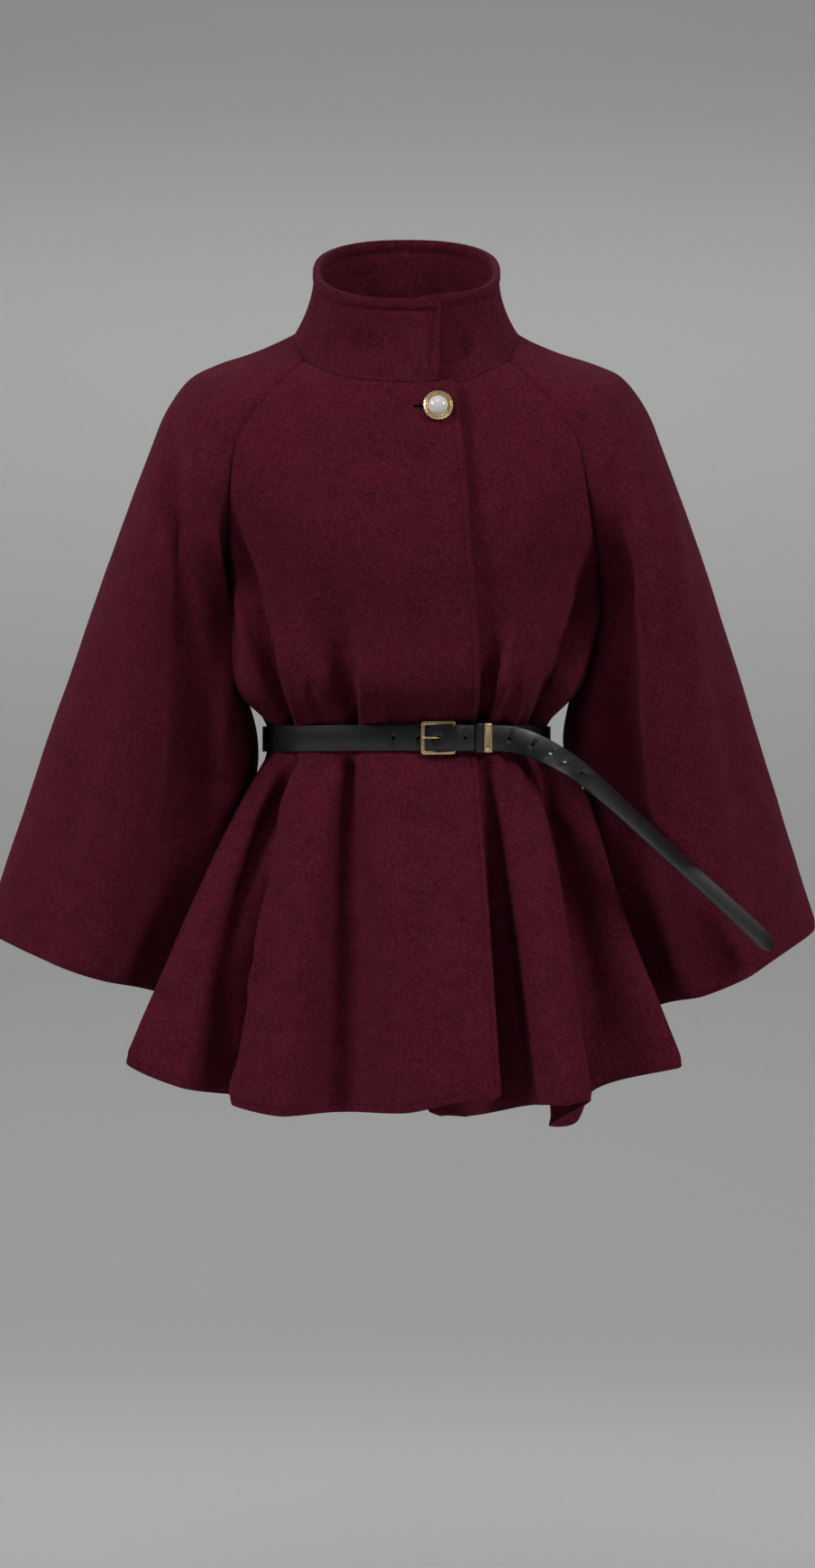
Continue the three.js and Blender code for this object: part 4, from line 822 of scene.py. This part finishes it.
def crease_push(sheet, paths, side):
    """How far creases push each point out, in millimetres. side is -1 in front and 1 at the back."""
    points = sheet["points"]
    total = np.zeros(points.shape[:2])
    for path in paths:
        stops = [points[nearest(points, sheet["normals"], x, z, side)] for x, z, _, _ in path]
        closest = np.full(points.shape[:2], np.inf)
        push = np.zeros(points.shape[:2])
        for k in range(len(path) - 1):
            along = stops[k + 1] - stops[k]
            share = np.clip(((points - stops[k]) @ along) / (along @ along), 0, 1)
            gap = np.linalg.norm(points - stops[k] - share[..., None] * along, axis=-1)
            depth, width = (blend(path[k][n], path[k + 1][n], share) for n in (2, 3))
            closer = gap < closest
            push = np.where(closer, depth * swell(gap, width), push)
            closest = np.minimum(closest, gap)
        total += push
    return total


# %% [markdown]
# ## Unevenness, seams and stitch lines
# Felted cloth is never quite smooth, sewn edges roll in, a turned hem thins towards its edge, and
# topstitching sinks in. Bump would do in the middle of a panel, but its outline would stay stiff, so
# all of these push the cloth itself.

# %% Unevenness and stitch lines
WAVES = [{"size": 85, "height": 1.1}, {"size": 34, "height": 0.45}]
SEAM_FADE = 10.0
SEAM_DIP = {"depth": 1.6, "width": 2.4}
STITCH_GROOVE = {"depth": 0.8, "width": 1.5}
HEM_INSET = 7.0
FRONT_INSET = {"below_belt": 5.2, "above_belt": 7.0, "change": 20}
LINES_CROSS = 2
DIP_ENDS_ROWS = (1, 9)
LEVEL_COLUMN = 4
EDGE_SWELL = 1.3
HEM_ROLL = {"depth": 2.4, "width": 5.0}


def wave_push(points):
    push = np.zeros(points.shape[:2])
    for row, line in enumerate(points):
        for column, point in enumerate(line):
            push[row, column] = sum(w["height"] * noise.noise(Vector(point) / w["size"]) for w in WAVES)
    return push


def groove(distance):
    return -STITCH_GROOVE["depth"] * swell(distance, STITCH_GROOVE["width"])


def front_inset(sheet):
    """How far in from the front edge the stitch line lies: less below the belt."""
    z = sheet["points"][:, -1, 2]
    above = ease(z, BELT_Z - FRONT_INSET["change"], BELT_Z + FRONT_INSET["change"])
    return blend(FRONT_INSET["below_belt"], FRONT_INSET["above_belt"], above)


# %% [markdown]
# ## Cutting and bending a panel
# A panel starts as a flat slab of squares, as cloth starts flat. Every corner of the slab knows its
# row, its column and its side of the cloth, so bending it is one step: each corner goes to its place
# on the sheet, or 3 mm behind it. The cut edges are then rounded over by a Bevel modifier.

# %% Slabs
SEAM_GAP, RIM_WELD = 0.34, 0.2


def slab(rows, columns):
    """A flat slab of squares: x is the column, y the row, and z is 0 outside and 1 inside."""
    mesh = bmesh.new()
    bmesh.ops.create_grid(mesh, x_segments=columns, y_segments=rows, size=0.5)
    low = Vector((min(v.co.x for v in mesh.verts), min(v.co.y for v in mesh.verts), 0))
    bmesh.ops.translate(mesh, verts=mesh.verts, vec=-low)
    bmesh.ops.scale(mesh, verts=mesh.verts, vec=(columns, rows, 1))
    every = mesh.faces[:] + mesh.edges[:] + mesh.verts[:]
    grown = bmesh.ops.extrude_face_region(mesh, geom=every, use_keep_orig=True)["geom"]
    bmesh.ops.translate(mesh, verts=only(bmesh.types.BMVert, grown), vec=(0, 0, 1))
    return mesh


def bend(mesh, outer, inner, closed_from=None):
    """Puts a slab's corners on the outer and inner sheets. From closed_from down it is a tube."""
    last = outer.shape[1] - 1

    def on_rim(place):
        return place.y > closed_from - 0.01 and not 0.01 <= place.x <= last - 0.01

    if closed_from is not None:
        walls = [face for face in mesh.faces if on_rim(face.calc_center_median())]
        bmesh.ops.delete(mesh, geom=walls, context="FACES_ONLY")
        rims = [vert for vert in mesh.verts if on_rim(vert.co)]
    for vert in mesh.verts:
        column, row = round(vert.co.x), round(vert.co.y)
        vert.co = (inner if vert.co.z > 0.5 else outer)[row, column] * MM
    if closed_from is not None:
        bmesh.ops.remove_doubles(mesh, verts=rims, dist=RIM_WELD * MM)
    if mesh.calc_volume(signed=True) < 0:
        bmesh.ops.reverse_faces(mesh, faces=mesh.faces)
    return mesh


def drawn_back(points, left, right):
    """Sewn edges drawn back by half the seam's gap. left and right say which rows are sewn."""
    out = points.copy()
    for sewn, edge, beside in ((left, 0, 1), (right, -1, -2)):
        out[sewn, edge] += unit(points[sewn, beside] - points[sewn, edge]) * SEAM_GAP / 2
    out[0] += unit(points[1] - points[0]) * SEAM_GAP / 2
    return out


def rounded_edges(piece, width, segments=2, sharper_than=50):
    bevel = piece.modifiers.new("rounded edges", "BEVEL")
    bevel.width = width * MM
    bevel.segments = segments
    bevel.limit_method = "ANGLE"
    bevel.angle_limit = np.radians(sharper_than)
    bevel.use_clamp_overlap = True
    return piece


EDGE_ROUND = 1.15
ALL, NONE, ABOVE = slice(None), slice(0, 0), slice(0, UNDERARM)
SEWN = {
    "front_right": (ALL, NONE), "front_left": (NONE, ALL), "back": (ALL, ALL),
    "sleeve_left": (ABOVE, ABOVE), "sleeve_right": (ABOVE, ABOVE),
}


def seam_fade(name, points):
    """1 out on the cloth and 0 at its seams, so that no push opens a seam.

    The distance from the neck is read on one column, so the fade runs level.
    """
    first, last = along_rows(points)
    depth = along_columns(points)[0][:, LEVEL_COLUMN]
    fade = ease(depth, 0, SEAM_FADE)[:, None] * np.ones_like(first)
    left, right = SEWN[name]
    fade[left] *= ease(first[left], 0, SEAM_FADE)
    fade[right] *= ease(last[right], 0, SEAM_FADE)
    return fade


def seam_dip(name, points):
    """Sewn edges turn in, so the cloth rolls down into each seam from both sides."""
    first, last = along_rows(points)
    left, right = SEWN[name]
    dip = np.zeros(first.shape)
    dip[left] = swell(first[left], SEAM_DIP["width"])
    dip[right] = np.maximum(dip[right], swell(last[right], SEAM_DIP["width"]))
    from_underarm = np.abs(np.arange(len(points)) - UNDERARM)
    return -SEAM_DIP["depth"] * dip * ease(from_underarm, *DIP_ENDS_ROWS)[:, None]


def cloth_panel(name):
    sheet = SHEETS[name]
    points, normals = sheet["points"], sheet["normals"]
    push = wave_push(points)
    for side, paths in CREASES[name].items():
        push += crease_push(sheet, paths, side)
    push = push * seam_fade(name, points) + seam_dip(name, points)
    to_hem = along_columns(points)[1]
    push -= HEM_ROLL["depth"] * swell(to_hem, HEM_ROLL["width"])
    if name == "front_right":
        to_edge = along_rows(points)[1]
        edge_line = groove(to_edge - front_inset(sheet)[:, None]) * (to_hem > HEM_INSET - LINES_CROSS)
        push += np.minimum(edge_line, groove(to_hem - HEM_INSET) * (to_edge > 3))
        push += EDGE_SWELL * ease(front_inset(sheet)[:, None] - to_edge, 0, 4) * ease(to_edge, 0, 2)
    sheet["outer"] = points + normals * push[..., None]
    outer = drawn_back(sheet["outer"], *SEWN[name])
    inner = outer - CLOTH * normals
    mesh = slab(points.shape[0] - 1, points.shape[1] - 1)
    closed_from = UNDERARM if name.startswith("sleeve") else None
    bent = bend(mesh, outer, inner, closed_from)
    piece = rounded_edges(finished(name + "_cloth", bent, wool), EDGE_ROUND)
    faces = len(piece.data.polygons)
    print(f"{piece.name}: {faces} faces, pushed {push.min():.1f} to {push.max():.1f} mm")
    return piece


# %% [markdown]
# ## Each panel in place of its node
# A maker cuts each panel flat from the bolt. Here each bent sheet of cloth hangs from the root, and
# the node it stands for is hidden.


def dress(piece, name):
    """Hangs a sheet of cloth from the root and hides the node it stands for."""
    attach(piece, "root")
    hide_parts(name)


for name in SHEETS:
    dress(cloth_panel(name), name)

# %% [markdown]
# ## Stand collar
# The collar is a straight band sewn to the neck, turned in and stitched just below its rim, so the
# rim is a soft roll. Its right end laps over its left one. A bell curve carries it from the slope of
# the shoulder to the upright rim.

# %% Collar
COLLAR = {
    "cloth": 5.5, "edge_round": 2.3, "lift": 0.5, "bell": 2.3, "row_spread": 1.3,
    "rim_power": 2.35, "rim_half_width": 88, "rim_front": 82, "rim_back": 80,
    "rim_front_z": 43, "rim_back_z": 93, "over_end_deg": 16.8, "under_end_deg": 4, "end_lean": 5.5,
    "corner_radius": 11, "tuck": 6.8, "tuck_from_deg": 26, "tuck_to_deg": 58,
    "stitch_inset": 11.5, "end_inset": 10.0, "roll": 1.0, "end_roll": 2.0, "groove": 1.6,
}
COLLAR_DENTS = {
    -1: [
        [(-66, 6, 0, 9), (-52, 0, -8, 13), (-36, -2, -6, 14), (-20, 2, 0, 12)],
        [(-74, 24, 0, 8), (-72, 10, 3, 9), (-66, -6, 0, 8)],
        [(42, 6, 0, 9), (54, -4, -7, 12), (66, -8, 0, 10)],
        [(80, 46, 0, 5), (82, 26, -4, 6), (86, 6, 0, 7)],
        [(-84, 46, 0, 5), (-85, 28, -3, 6), (-88, 10, 0, 7)],
    ],
    1: [
        [(-48, 60, 0, 10), (-52, 36, -2.5, 13), (-58, 18, 0, 10)],
        [(44, 66, 0, 10), (50, 42, -2, 12), (54, 20, 0, 10)],
    ],
}
COLLAR_ROWS, COLLAR_COLUMNS, CORNER_COLUMNS = 34, 190, 10


ROUND_NECK = {"front_right": -1, "sleeve_right": 1, "back": 1, "sleeve_left": -1, "front_left": -1}


def neck_line():
    points = np.concatenate([SHEETS[name]["points"][0][::way] for name, way in ROUND_NECK.items()])
    turn = np.degrees(np.unwrap(np.arctan2(points[:, 0], -points[:, 1])))
    return points[::-1], turn[::-1]


def collar_sheet():
    points, turn = neck_line()
    radius = COLLAR["corner_radius"]
    deg_per_mm = np.degrees(1 / YOKE["chest"][0])
    corner = radius * (1 - np.cos(np.linspace(0, np.pi / 2, CORNER_COLUMNS + 1)))
    plain_from = COLLAR["over_end_deg"] - radius * deg_per_mm
    plain = np.linspace(plain_from, COLLAR["under_end_deg"] - 360, COLLAR_COLUMNS + 1)[1:]
    deg = np.concatenate([COLLAR["over_end_deg"] - corner * deg_per_mm, plain])
    from_end = np.concatenate([corner, np.full(COLLAR_COLUMNS, radius)])
    base = np.stack([np.interp(deg, turn, points[:, axis]) for axis in range(3)], -1)
    flat = np.hypot(base[:, 0], base[:, 1])
    lean = np.stack([-NECK_LEAN * base[:, 0] / flat, -NECK_LEAN * base[:, 1] / flat, 1 + 0 * flat], -1)
    base += COLLAR["lift"] * unit(lean)
    leaned = np.radians(deg + COLLAR["end_lean"] * np.maximum(0, np.cos(np.radians(deg))))
    x, y = np.sin(leaned), -np.cos(leaned)
    depth = np.where(y < 0, COLLAR["rim_front"], COLLAR["rim_back"])
    untucked = ease(deg + 360, COLLAR["tuck_from_deg"], COLLAR["tuck_to_deg"])
    tucked = np.where(deg < -180, 1 - untucked, 0)
    power = COLLAR["rim_power"]
    reach = (np.abs(x / COLLAR["rim_half_width"]) ** power + np.abs(y / depth) ** power) ** (-1 / power)
    reach -= COLLAR["tuck"] * tucked
    tilt = (COLLAR["rim_back_z"] - COLLAR["rim_front_z"]) / (COLLAR["rim_front"] + COLLAR["rim_back"])
    rim_z = COLLAR["rim_front_z"] + tilt * (COLLAR["rim_front"] + reach * y)
    rim = np.stack([reach * x, reach * y, rim_z], -1)
    cut = radius - np.sqrt(radius**2 - (radius - from_end) ** 2)
    top = 1 - cut / (rim[:, 2] - base[:, 2])
    up = top * np.linspace(0, 1, COLLAR_ROWS + 1)[:, None] ** COLLAR["row_spread"]
    rows = blend(rim, base, ((1 - up) ** COLLAR["bell"])[..., None])
    rows[..., 2] = blend(base[:, 2], rim[:, 2], up)
    return rows


def collar_piece():
    points = collar_sheet()
    normals = sheet_normals(points, 1)
    normals[0] = neck_normals(points)
    from_base, to_rim = along_columns(points)
    from_end = along_rows(points)[0]
    from_rim_line, from_end_line = to_rim - COLLAR["stitch_inset"], from_end - COLLAR["end_inset"]
    rim_line = groove(from_rim_line) * (from_end_line > -LINES_CROSS)
    end_line = groove(from_end_line) * (from_rim_line > -LINES_CROSS)
    rim_roll = COLLAR["roll"] * ease(-from_rim_line, 0, 4) * ease(to_rim, 0, 3)
    lines = np.minimum(rim_line, end_line) * COLLAR["groove"]
    end_roll = COLLAR["end_roll"] * ease(-from_end_line, 0, 5) * ease(from_end, 0, 2.5)
    sheet = {"points": points, "normals": normals}
    dents = sum(crease_push(sheet, paths, side) for side, paths in COLLAR_DENTS.items())
    soft = (wave_push(points) * 0.8 + dents) * ease(from_base, 0, 8) * ease(to_rim, 0, 20)
    push = soft + lines + np.maximum(rim_roll, end_roll)
    outer = points + normals * push[..., None]
    inner = points - normals * (COLLAR["cloth"] + lines + rim_roll - soft)[..., None]
    mesh = bend(slab(points.shape[0] - 1, points.shape[1] - 1), outer, inner)
    SHEETS["collar"] = sheet | {"outer": outer, "inner": inner, "to_rim": to_rim, "from_end": from_end}
    return rounded_edges(finished("collar_cloth", mesh, collar_wool), COLLAR["edge_round"], 4)


dress(collar_piece(), "collar")

# %% [markdown]
# ## Leather, gold, pearl and thread
# The other materials are small beside the wool, but each has its own grain: pores and faint creases
# in the leather, brushing in the gold, clouds of warm and cool white in the pearl, twist in the thread.

# %% Leather, gold, pearl and thread
def leather_paint():
    paint = Paint("leather", Specular_IOR_Level=0.5, Coat_Roughness=0.28)
    sockets = {"Vector": paint.place, "Scale": 1 / (1.1 * MM)}
    pores = paint.node("ShaderNodeTexVoronoi", {"feature": "F1"}, sockets)
    creases = paint.grain(5 * MM, 4, 0.6, 0.8)
    cloudy = paint.grain(28 * MM, 3, 0.5)
    black, worn_black = (0.0035, 0.004, 0.0045, 1), (0.012, 0.0128, 0.014, 1)
    paint.set("Base Color", paint.mix(cloudy * 0.8 + creases * 0.2, black, worn_black))
    paint.set("Roughness", 0.3 + creases * 0.14 + cloudy * 0.1)
    paint.set("Coat Weight", 0.55)
    paint.bump(pores * 0.5 + creases * 0.6, 0.22, 0.35 * MM)
    return paint.material


def gold_paint():
    paint = Paint("gold", Metallic=0.75)
    brushed = paint.grain(1.6 * MM, 3, 0.6)
    worn = paint.grain(7 * MM, 2, 0.5)
    paint.set("Base Color", paint.mix(worn, (1.0, 0.68, 0.31, 1), (1.0, 0.82, 0.5, 1)))
    paint.set("Roughness", 0.2 + brushed * 0.12)
    paint.bump(brushed, 0.06, 0.2 * MM)
    return paint.material


def pearl_paint():
    paint = Paint("pearl", Roughness=0.16, Coat_Weight=1.0, Coat_Roughness=0.05, Subsurface_Weight=0.1)
    paint.set("Subsurface Radius", (0.004, 0.003, 0.0028))
    clouds = paint.grain(7 * MM, 3, 0.5, 1.2)
    warm = paint.mix(paint.between(clouds, 0.35, 0.65), (0.88, 0.82, 0.79, 1), (0.9, 0.89, 0.91, 1))
    paint.set("Base Color", warm)
    paint.bump(paint.grain(2.5 * MM, 2), 0.03, 0.3 * MM)
    return paint.material


def thread_paint(name, dark, light):
    paint = Paint(name, Roughness=0.95, Specular_IOR_Level=0.1)
    twist = paint.grain(0.5 * MM, 2, 0.6)
    paint.set("Base Color", paint.mix(twist, dark, light))
    paint.bump(twist, 0.4, 0.15 * MM)
    return paint.material


leather = leather_paint()
gold = gold_paint()
pearl = pearl_paint()
wine_thread = thread_paint("wine_thread", (0.014, 0.0015, 0.004, 1), (0.04, 0.004, 0.01, 1))
hole_thread = thread_paint("hole_thread", (0.05, 0.012, 0.014, 1), (0.13, 0.04, 0.045, 1))
black_thread = thread_paint("black_thread", (0.004, 0.004, 0.005, 1), (0.018, 0.018, 0.02, 1))

# %% [markdown]
# ## Buttonhole
# A buttonhole is a slit with its cut edges oversewn. The slit could be painted on, but then nothing
# would show the front below it. So a slot is cut through the cloth, and thread is laid round it.

# %% Cut the buttonhole
HOLE = {"from_x": 6.0, "to_x": 31.0, "z": -56.5, "height": 2.6, "depth": 12.0, "pitch": 0.75}
BAR_TACK = {"length": 2.3, "radius": 0.42, "out": 0.4}


def on_cloth(sheet, x, z):
    """The point of a sheet's outer face at x and z, seen from the front, and its normal."""
    at = nearest(sheet["outer"], sheet["normals"], x, z, -1)
    point, normal = sheet["outer"][at].copy(), sheet["normals"][at]
    point[1] -= (normal[0] * (x - point[0]) + normal[2] * (z - point[2])) / normal[1]
    point[0], point[2] = x, z
    return point, normal


def placed(point, along, normal):
    """A matrix that puts X along a line and Z out of the cloth, in metres."""
    along, out = Vector(along).normalized(), Vector(normal)
    out = (out - along * out.dot(along)).normalized()
    turned = Matrix((along, out.cross(along), out)).transposed().to_4x4()
    return Matrix.Translation(Vector(point) * MM) @ turned


def cut_slot(piece, sheet):
    ends = HOLE["from_x"], HOLE["to_x"]
    point, normal = on_cloth(sheet, sum(ends) / 2, HOLE["z"])
    left, right = (on_cloth(sheet, x, HOLE["z"])[0] for x in ends)
    mesh = bmesh.new()
    radius = HOLE["height"] / 2 * MM
    bmesh.ops.create_cone(
        mesh, cap_ends=True, segments=24, radius1=radius, radius2=radius, depth=HOLE["depth"] * MM,
    )
    stretch = (HOLE["to_x"] - HOLE["from_x"]) / 2 * MM - radius
    for vert in mesh.verts:
        vert.co.x += stretch if vert.co.x > 0 else -stretch
    bmesh.ops.transform(mesh, verts=mesh.verts, matrix=placed(point, right - left, normal))
    cutter = finished("slot_cutter", mesh, wine_thread)
    cut = piece.modifiers.new("slot", "BOOLEAN")
    cut.operation, cut.solver, cut.object = "DIFFERENCE", "EXACT", cutter
    bpy.context.view_layer.update()
    view = piece.evaluated_get(bpy.context.evaluated_depsgraph_get())
    whole = piece.data
    piece.data = bpy.data.meshes.new_from_object(view)
    piece.data.name = whole.name
    bpy.data.meshes.remove(whole)
    piece.modifiers.remove(cut)
    bpy.data.objects.remove(cutter)


front = bpy.data.objects["front_right_cloth"]
faces = len(front.data.polygons)
front.modifiers.clear()
cut_slot(front, SHEETS["front_right"])
rounded_edges(front, EDGE_ROUND)
print(f"buttonhole: {faces} faces before, {len(front.data.polygons)} after")

# %% [markdown]
# ## Stitches
# The topstitching sinks into the felt, so only short dark dashes show. One long thread could be wound
# along each line, but all of it that shows is the stitches, so each is a small drop of thread in a
# groove that the sheet already has.

# %% Lay the stitches
STITCH = {"pitch": 3.6, "length": 2.7, "radius": 0.36, "sink": 0.12}
LINE_END = 3.0


def line_at(sheet, distance, at, face="outer", axis=1):
    """The points where a distance over the sheet is at, one for each row, or column if axis is 0."""
    points, normals, distance = sheet[face], sheet["normals"], distance.copy()
    if axis == 0:
        points, normals, distance = points.transpose(1, 0, 2), normals.transpose(1, 0, 2), distance.T
    at = np.broadcast_to(at, len(points))
    line, outward = [], []
    for row in range(len(points)):
        order = np.argsort(distance[row])
        reach = distance[row][order]
        for found, rows in ((line, points), (outward, normals)):
            found.append([np.interp(at[row], reach, rows[row][order, k]) for k in range(3)])
    return np.array(line), np.array(outward)


def stitch_places(line, outward, pitch):
    steps = np.linalg.norm(np.diff(line, axis=0), axis=-1)
    length = np.concatenate([[0], np.cumsum(steps)])
    at = np.arange(LINE_END, length[-1] - LINE_END, pitch)

    def value(rows, where):
        return np.stack([np.interp(where, length, rows[:, k]) for k in range(3)], -1)

    return value(line, at), value(line, at + 0.5) - value(line, at - 0.5), value(outward, at)


def joined_stitches(name, places, size, paint):
    """One mesh of a stitch repeated at every place. A stitch is a stretched ball."""
    mesh = bmesh.new()
    shape = Matrix.Diagonal((size["length"] / 2 * MM, size["radius"] * MM, size["radius"] * MM, 1))
    bmesh.ops.create_uvsphere(mesh, u_segments=8, v_segments=5, radius=1, matrix=shape)
    corners = np.array([vert.co[:] + (1,) for vert in mesh.verts])
    faces = [[vert.index for vert in face.verts] for face in mesh.faces]
    mesh.free()
    every = np.concatenate([corners @ np.array(place).T[:, :3] for place in places])
    rows = [[i + n * len(corners) for i in face] for n in range(len(places)) for face in faces]
    data = bpy.data.meshes.new(name)
    data.from_pydata(every, [], rows)
    piece = shown(name, data, paint)
    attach(piece, "root")
    print(f"{name}: {len(places)} stitches, {len(data.polygons)} faces")


def sew(name, lines, paint, size=STITCH):
    """Stitches along lines of points, half sunk in the cloth."""
    places = []
    for line, outward in lines:
        for point, along, normal in zip(*stitch_places(line, outward, size["pitch"])):
            places.append(placed(point - normal * size["sink"], along, normal))
    joined_stitches(name, places, size, paint)


right_front = SHEETS["front_right"]
to_edge, to_hem = (distances(right_front["points"], axis)[1] for axis in (1, 0))
edge_line, edge_out = line_at(right_front, to_edge, front_inset(right_front))
hem_line, hem_out = line_at(right_front, to_hem, HEM_INSET, axis=0)
sew("front_topstitch", [
    (edge_line[3:-3], edge_out[3:-3]), (hem_line[2:-3], hem_out[2:-3]),
], wine_thread)

collar = SHEETS["collar"]
ended = np.argmax(collar["from_end"][-1] > COLLAR["end_inset"])
rim_line, rim_out = line_at(collar, collar["to_rim"], COLLAR["stitch_inset"], axis=0)
in_line, in_out = line_at(collar, collar["to_rim"], COLLAR["stitch_inset"], "inner", axis=0)
end_line, end_out = line_at(collar, collar["from_end"], COLLAR["end_inset"])
sew("collar_topstitch", [
    (rim_line[ended:-2], rim_out[ended:-2]), (in_line[ended:-2], -in_out[ended:-2]),
    (end_line[2:-5], end_out[2:-5]),
], wine_thread)

# %% Oversew the buttonhole
def oversew():
    radius = HOLE["height"] / 2
    straight = np.arange(HOLE["from_x"] + radius, HOLE["to_x"] - radius, HOLE["pitch"])
    edges = [(x, side * radius, 0, side) for x in straight for side in (-1, 1)]
    for x, face in ((HOLE["from_x"] + radius, -1), (HOLE["to_x"] - radius, 1)):
        for turn in np.radians(np.arange(-75, 90, 25)):
            across, rise = face * np.cos(turn), np.sin(turn)
            edges.append((x + radius * across, radius * rise, across, rise))
    reach = BAR_TACK["length"] * BAR_TACK["out"]
    places = []
    for x, up, across, rise in edges:
        at = x + across * reach, HOLE["z"] + up + rise * reach
        point, normal = on_cloth(SHEETS["front_right"], *at)
        places.append(placed(point, (across, 0, rise), normal))
    joined_stitches("buttonhole_thread", places, BAR_TACK, hole_thread)


oversew()

# %% [markdown]
# ## Belt, buckle and button
# The strap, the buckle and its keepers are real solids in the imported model. A copy of each is merged
# and gets rounded edges, as edges are pared on leather and rolled on cast metal. The node itself
# isn't touched: the copy stands in for it.

# %% Copies with rounded edges
HARDWARE = [
    # node, paint, slot, how far its edges are rounded
    ("belt_strap", leather, "leather", 0.45),
    ("keeper_leather", leather, "leather", 0.5),
    ("keeper_metal", gold, "gold", 0.3),
    ("buckle_frame", gold, "gold", 0.3),
    ("buckle_prong", gold, "gold", 0),
    ("button_rim", gold, "gold", 0.12),
    ("button_pearl", pearl, "pearl", 0),
    ("button_shank", wine_thread, "thread", 0.3),
]
HARDWARE_ROUND_DEG, FRAME_SWELL = 38, 0.3
COPY_WELD, JOINED_DEG = 0.002, (8, 50)


def merged_copy(node):
    mesh = bmesh.new()
    mesh.from_mesh(bpy.data.objects[node].data)
    bmesh.ops.remove_doubles(mesh, verts=mesh.verts, dist=COPY_WELD * MM)
    flat, skew = np.radians(JOINED_DEG)
    bmesh.ops.join_triangles(
        mesh, faces=mesh.faces, angle_face_threshold=flat, angle_shape_threshold=skew,
    )
    return mesh


def dome(node, rim):
    """A smooth dome on the same base as a faceted one. The rim's plane gives its axis.

    An odd number of segments keeps every ring of the ball off the cut.
    """
    ring = np.array([vert.co[:] for vert in bpy.data.objects[rim].data.vertices])
    axis = np.linalg.svd(ring - ring.mean(0), full_matrices=False)[2][-1]
    axis *= -np.sign(axis[1])
    verts = np.array([vert.co[:] for vert in bpy.data.objects[node].data.vertices])
    level = verts @ axis
    height = level.max() - level.min()
    middle = verts.mean(0)
    base = middle + axis * (level.min() - middle @ axis)
    flat = verts - base - np.outer(level - level.min(), axis)
    radius = np.linalg.norm(flat, axis=1).max()
    mesh = bmesh.new()
    round_shape = Matrix.Diagonal((radius, radius, height, 1))
    bmesh.ops.create_uvsphere(mesh, u_segments=64, v_segments=41, radius=1, matrix=round_shape)
    cut = bmesh.ops.bisect_plane(
        mesh, geom=mesh.verts[:] + mesh.edges[:] + mesh.faces[:],
        plane_co=(0, 0, 0), plane_no=(0, 0, 1), clear_inner=True,
    )
    bmesh.ops.edgeloop_fill(mesh, edges=only(bmesh.types.BMEdge, cut["geom_cut"]))
    bmesh.ops.recalc_face_normals(mesh, faces=mesh.faces)
    bmesh.ops.transform(mesh, verts=mesh.verts, matrix=placed(base / MM, (1, 0, 0), axis))
    print(f"{node}: radius {radius / MM:.1f} mm, height {height / MM:.1f} mm")
    return mesh


for node, paint, slot, edge_round in HARDWARE:
    mesh = dome(node, "button_rim") if node == "button_pearl" else merged_copy(node)
    if node == "buckle_frame":
        for vert in mesh.verts:
            vert.co += vert.normal * FRAME_SWELL * MM
    piece = finished(node + "_piece", mesh, paint)
    if edge_round:
        rounded_edges(piece, edge_round, sharper_than=HARDWARE_ROUND_DEG)
    if node == "buckle_prong":
        surface = piece.modifiers.new("smooth", "SUBSURF")
        surface.levels = surface.render_levels = 1
    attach(piece, "root")
    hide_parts(node)
    print(f"{piece.name}: {len(piece.data.polygons)} faces")

# %% [markdown]
# ## Belt stitches
# The strap is sewn along both edges in black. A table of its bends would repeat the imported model, so
# rays from outside find its face at each half degree round the waist.

# %% Stitch the belt's edges
BELT_STITCH = {"pitch": 3.0, "length": 2.1, "radius": 0.22, "sink": 0.02}
STITCHED_HALF = 12.0 - 1.9
LOOK_FROM = 60
CLOSED_BELT_DEG = np.arange(-62, 262, 0.5)


def belt_lines():
    """Two lines round the closed belt, found by looking at the strap from outside."""
    strap = bpy.data.objects["belt_strap_piece"].data
    tree = BVHTree.FromPolygons([v.co for v in strap.vertices], [p.vertices for p in strap.polygons])
    lines = []
    for side in (-1, 1):
        line, outward = [], []
        for deg in CLOSED_BELT_DEG:
            x, y = waist_point(deg, LOOK_FROM)
            inner_x, inner_y = waist_point(deg, 0)
            z = belt_z(inner_y) + side * STITCHED_HALF
            aim = Vector((inner_x - x, inner_y - y, 0)).normalized()
            hit, normal, _, _ = tree.ray_cast(Vector((x, y, z)) * MM, aim)
            if hit is not None:
                line.append(np.array(hit) / MM)
                outward.append(np.array(normal))
        lines.append((np.array(line), np.array(outward)))
    return lines


sew("belt_edge_stitches", belt_lines(), black_thread, BELT_STITCH)

# %% [markdown]
# ## Close
# The box of the finished coat is set beside the box of the imported model, in one JSON text.

# %% Sizes and finish
json.dumps({
    "cad": [[float(value) for value in corner] for corner in cad_box],
    "visual": [[float(value) for value in corner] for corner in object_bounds()],
})
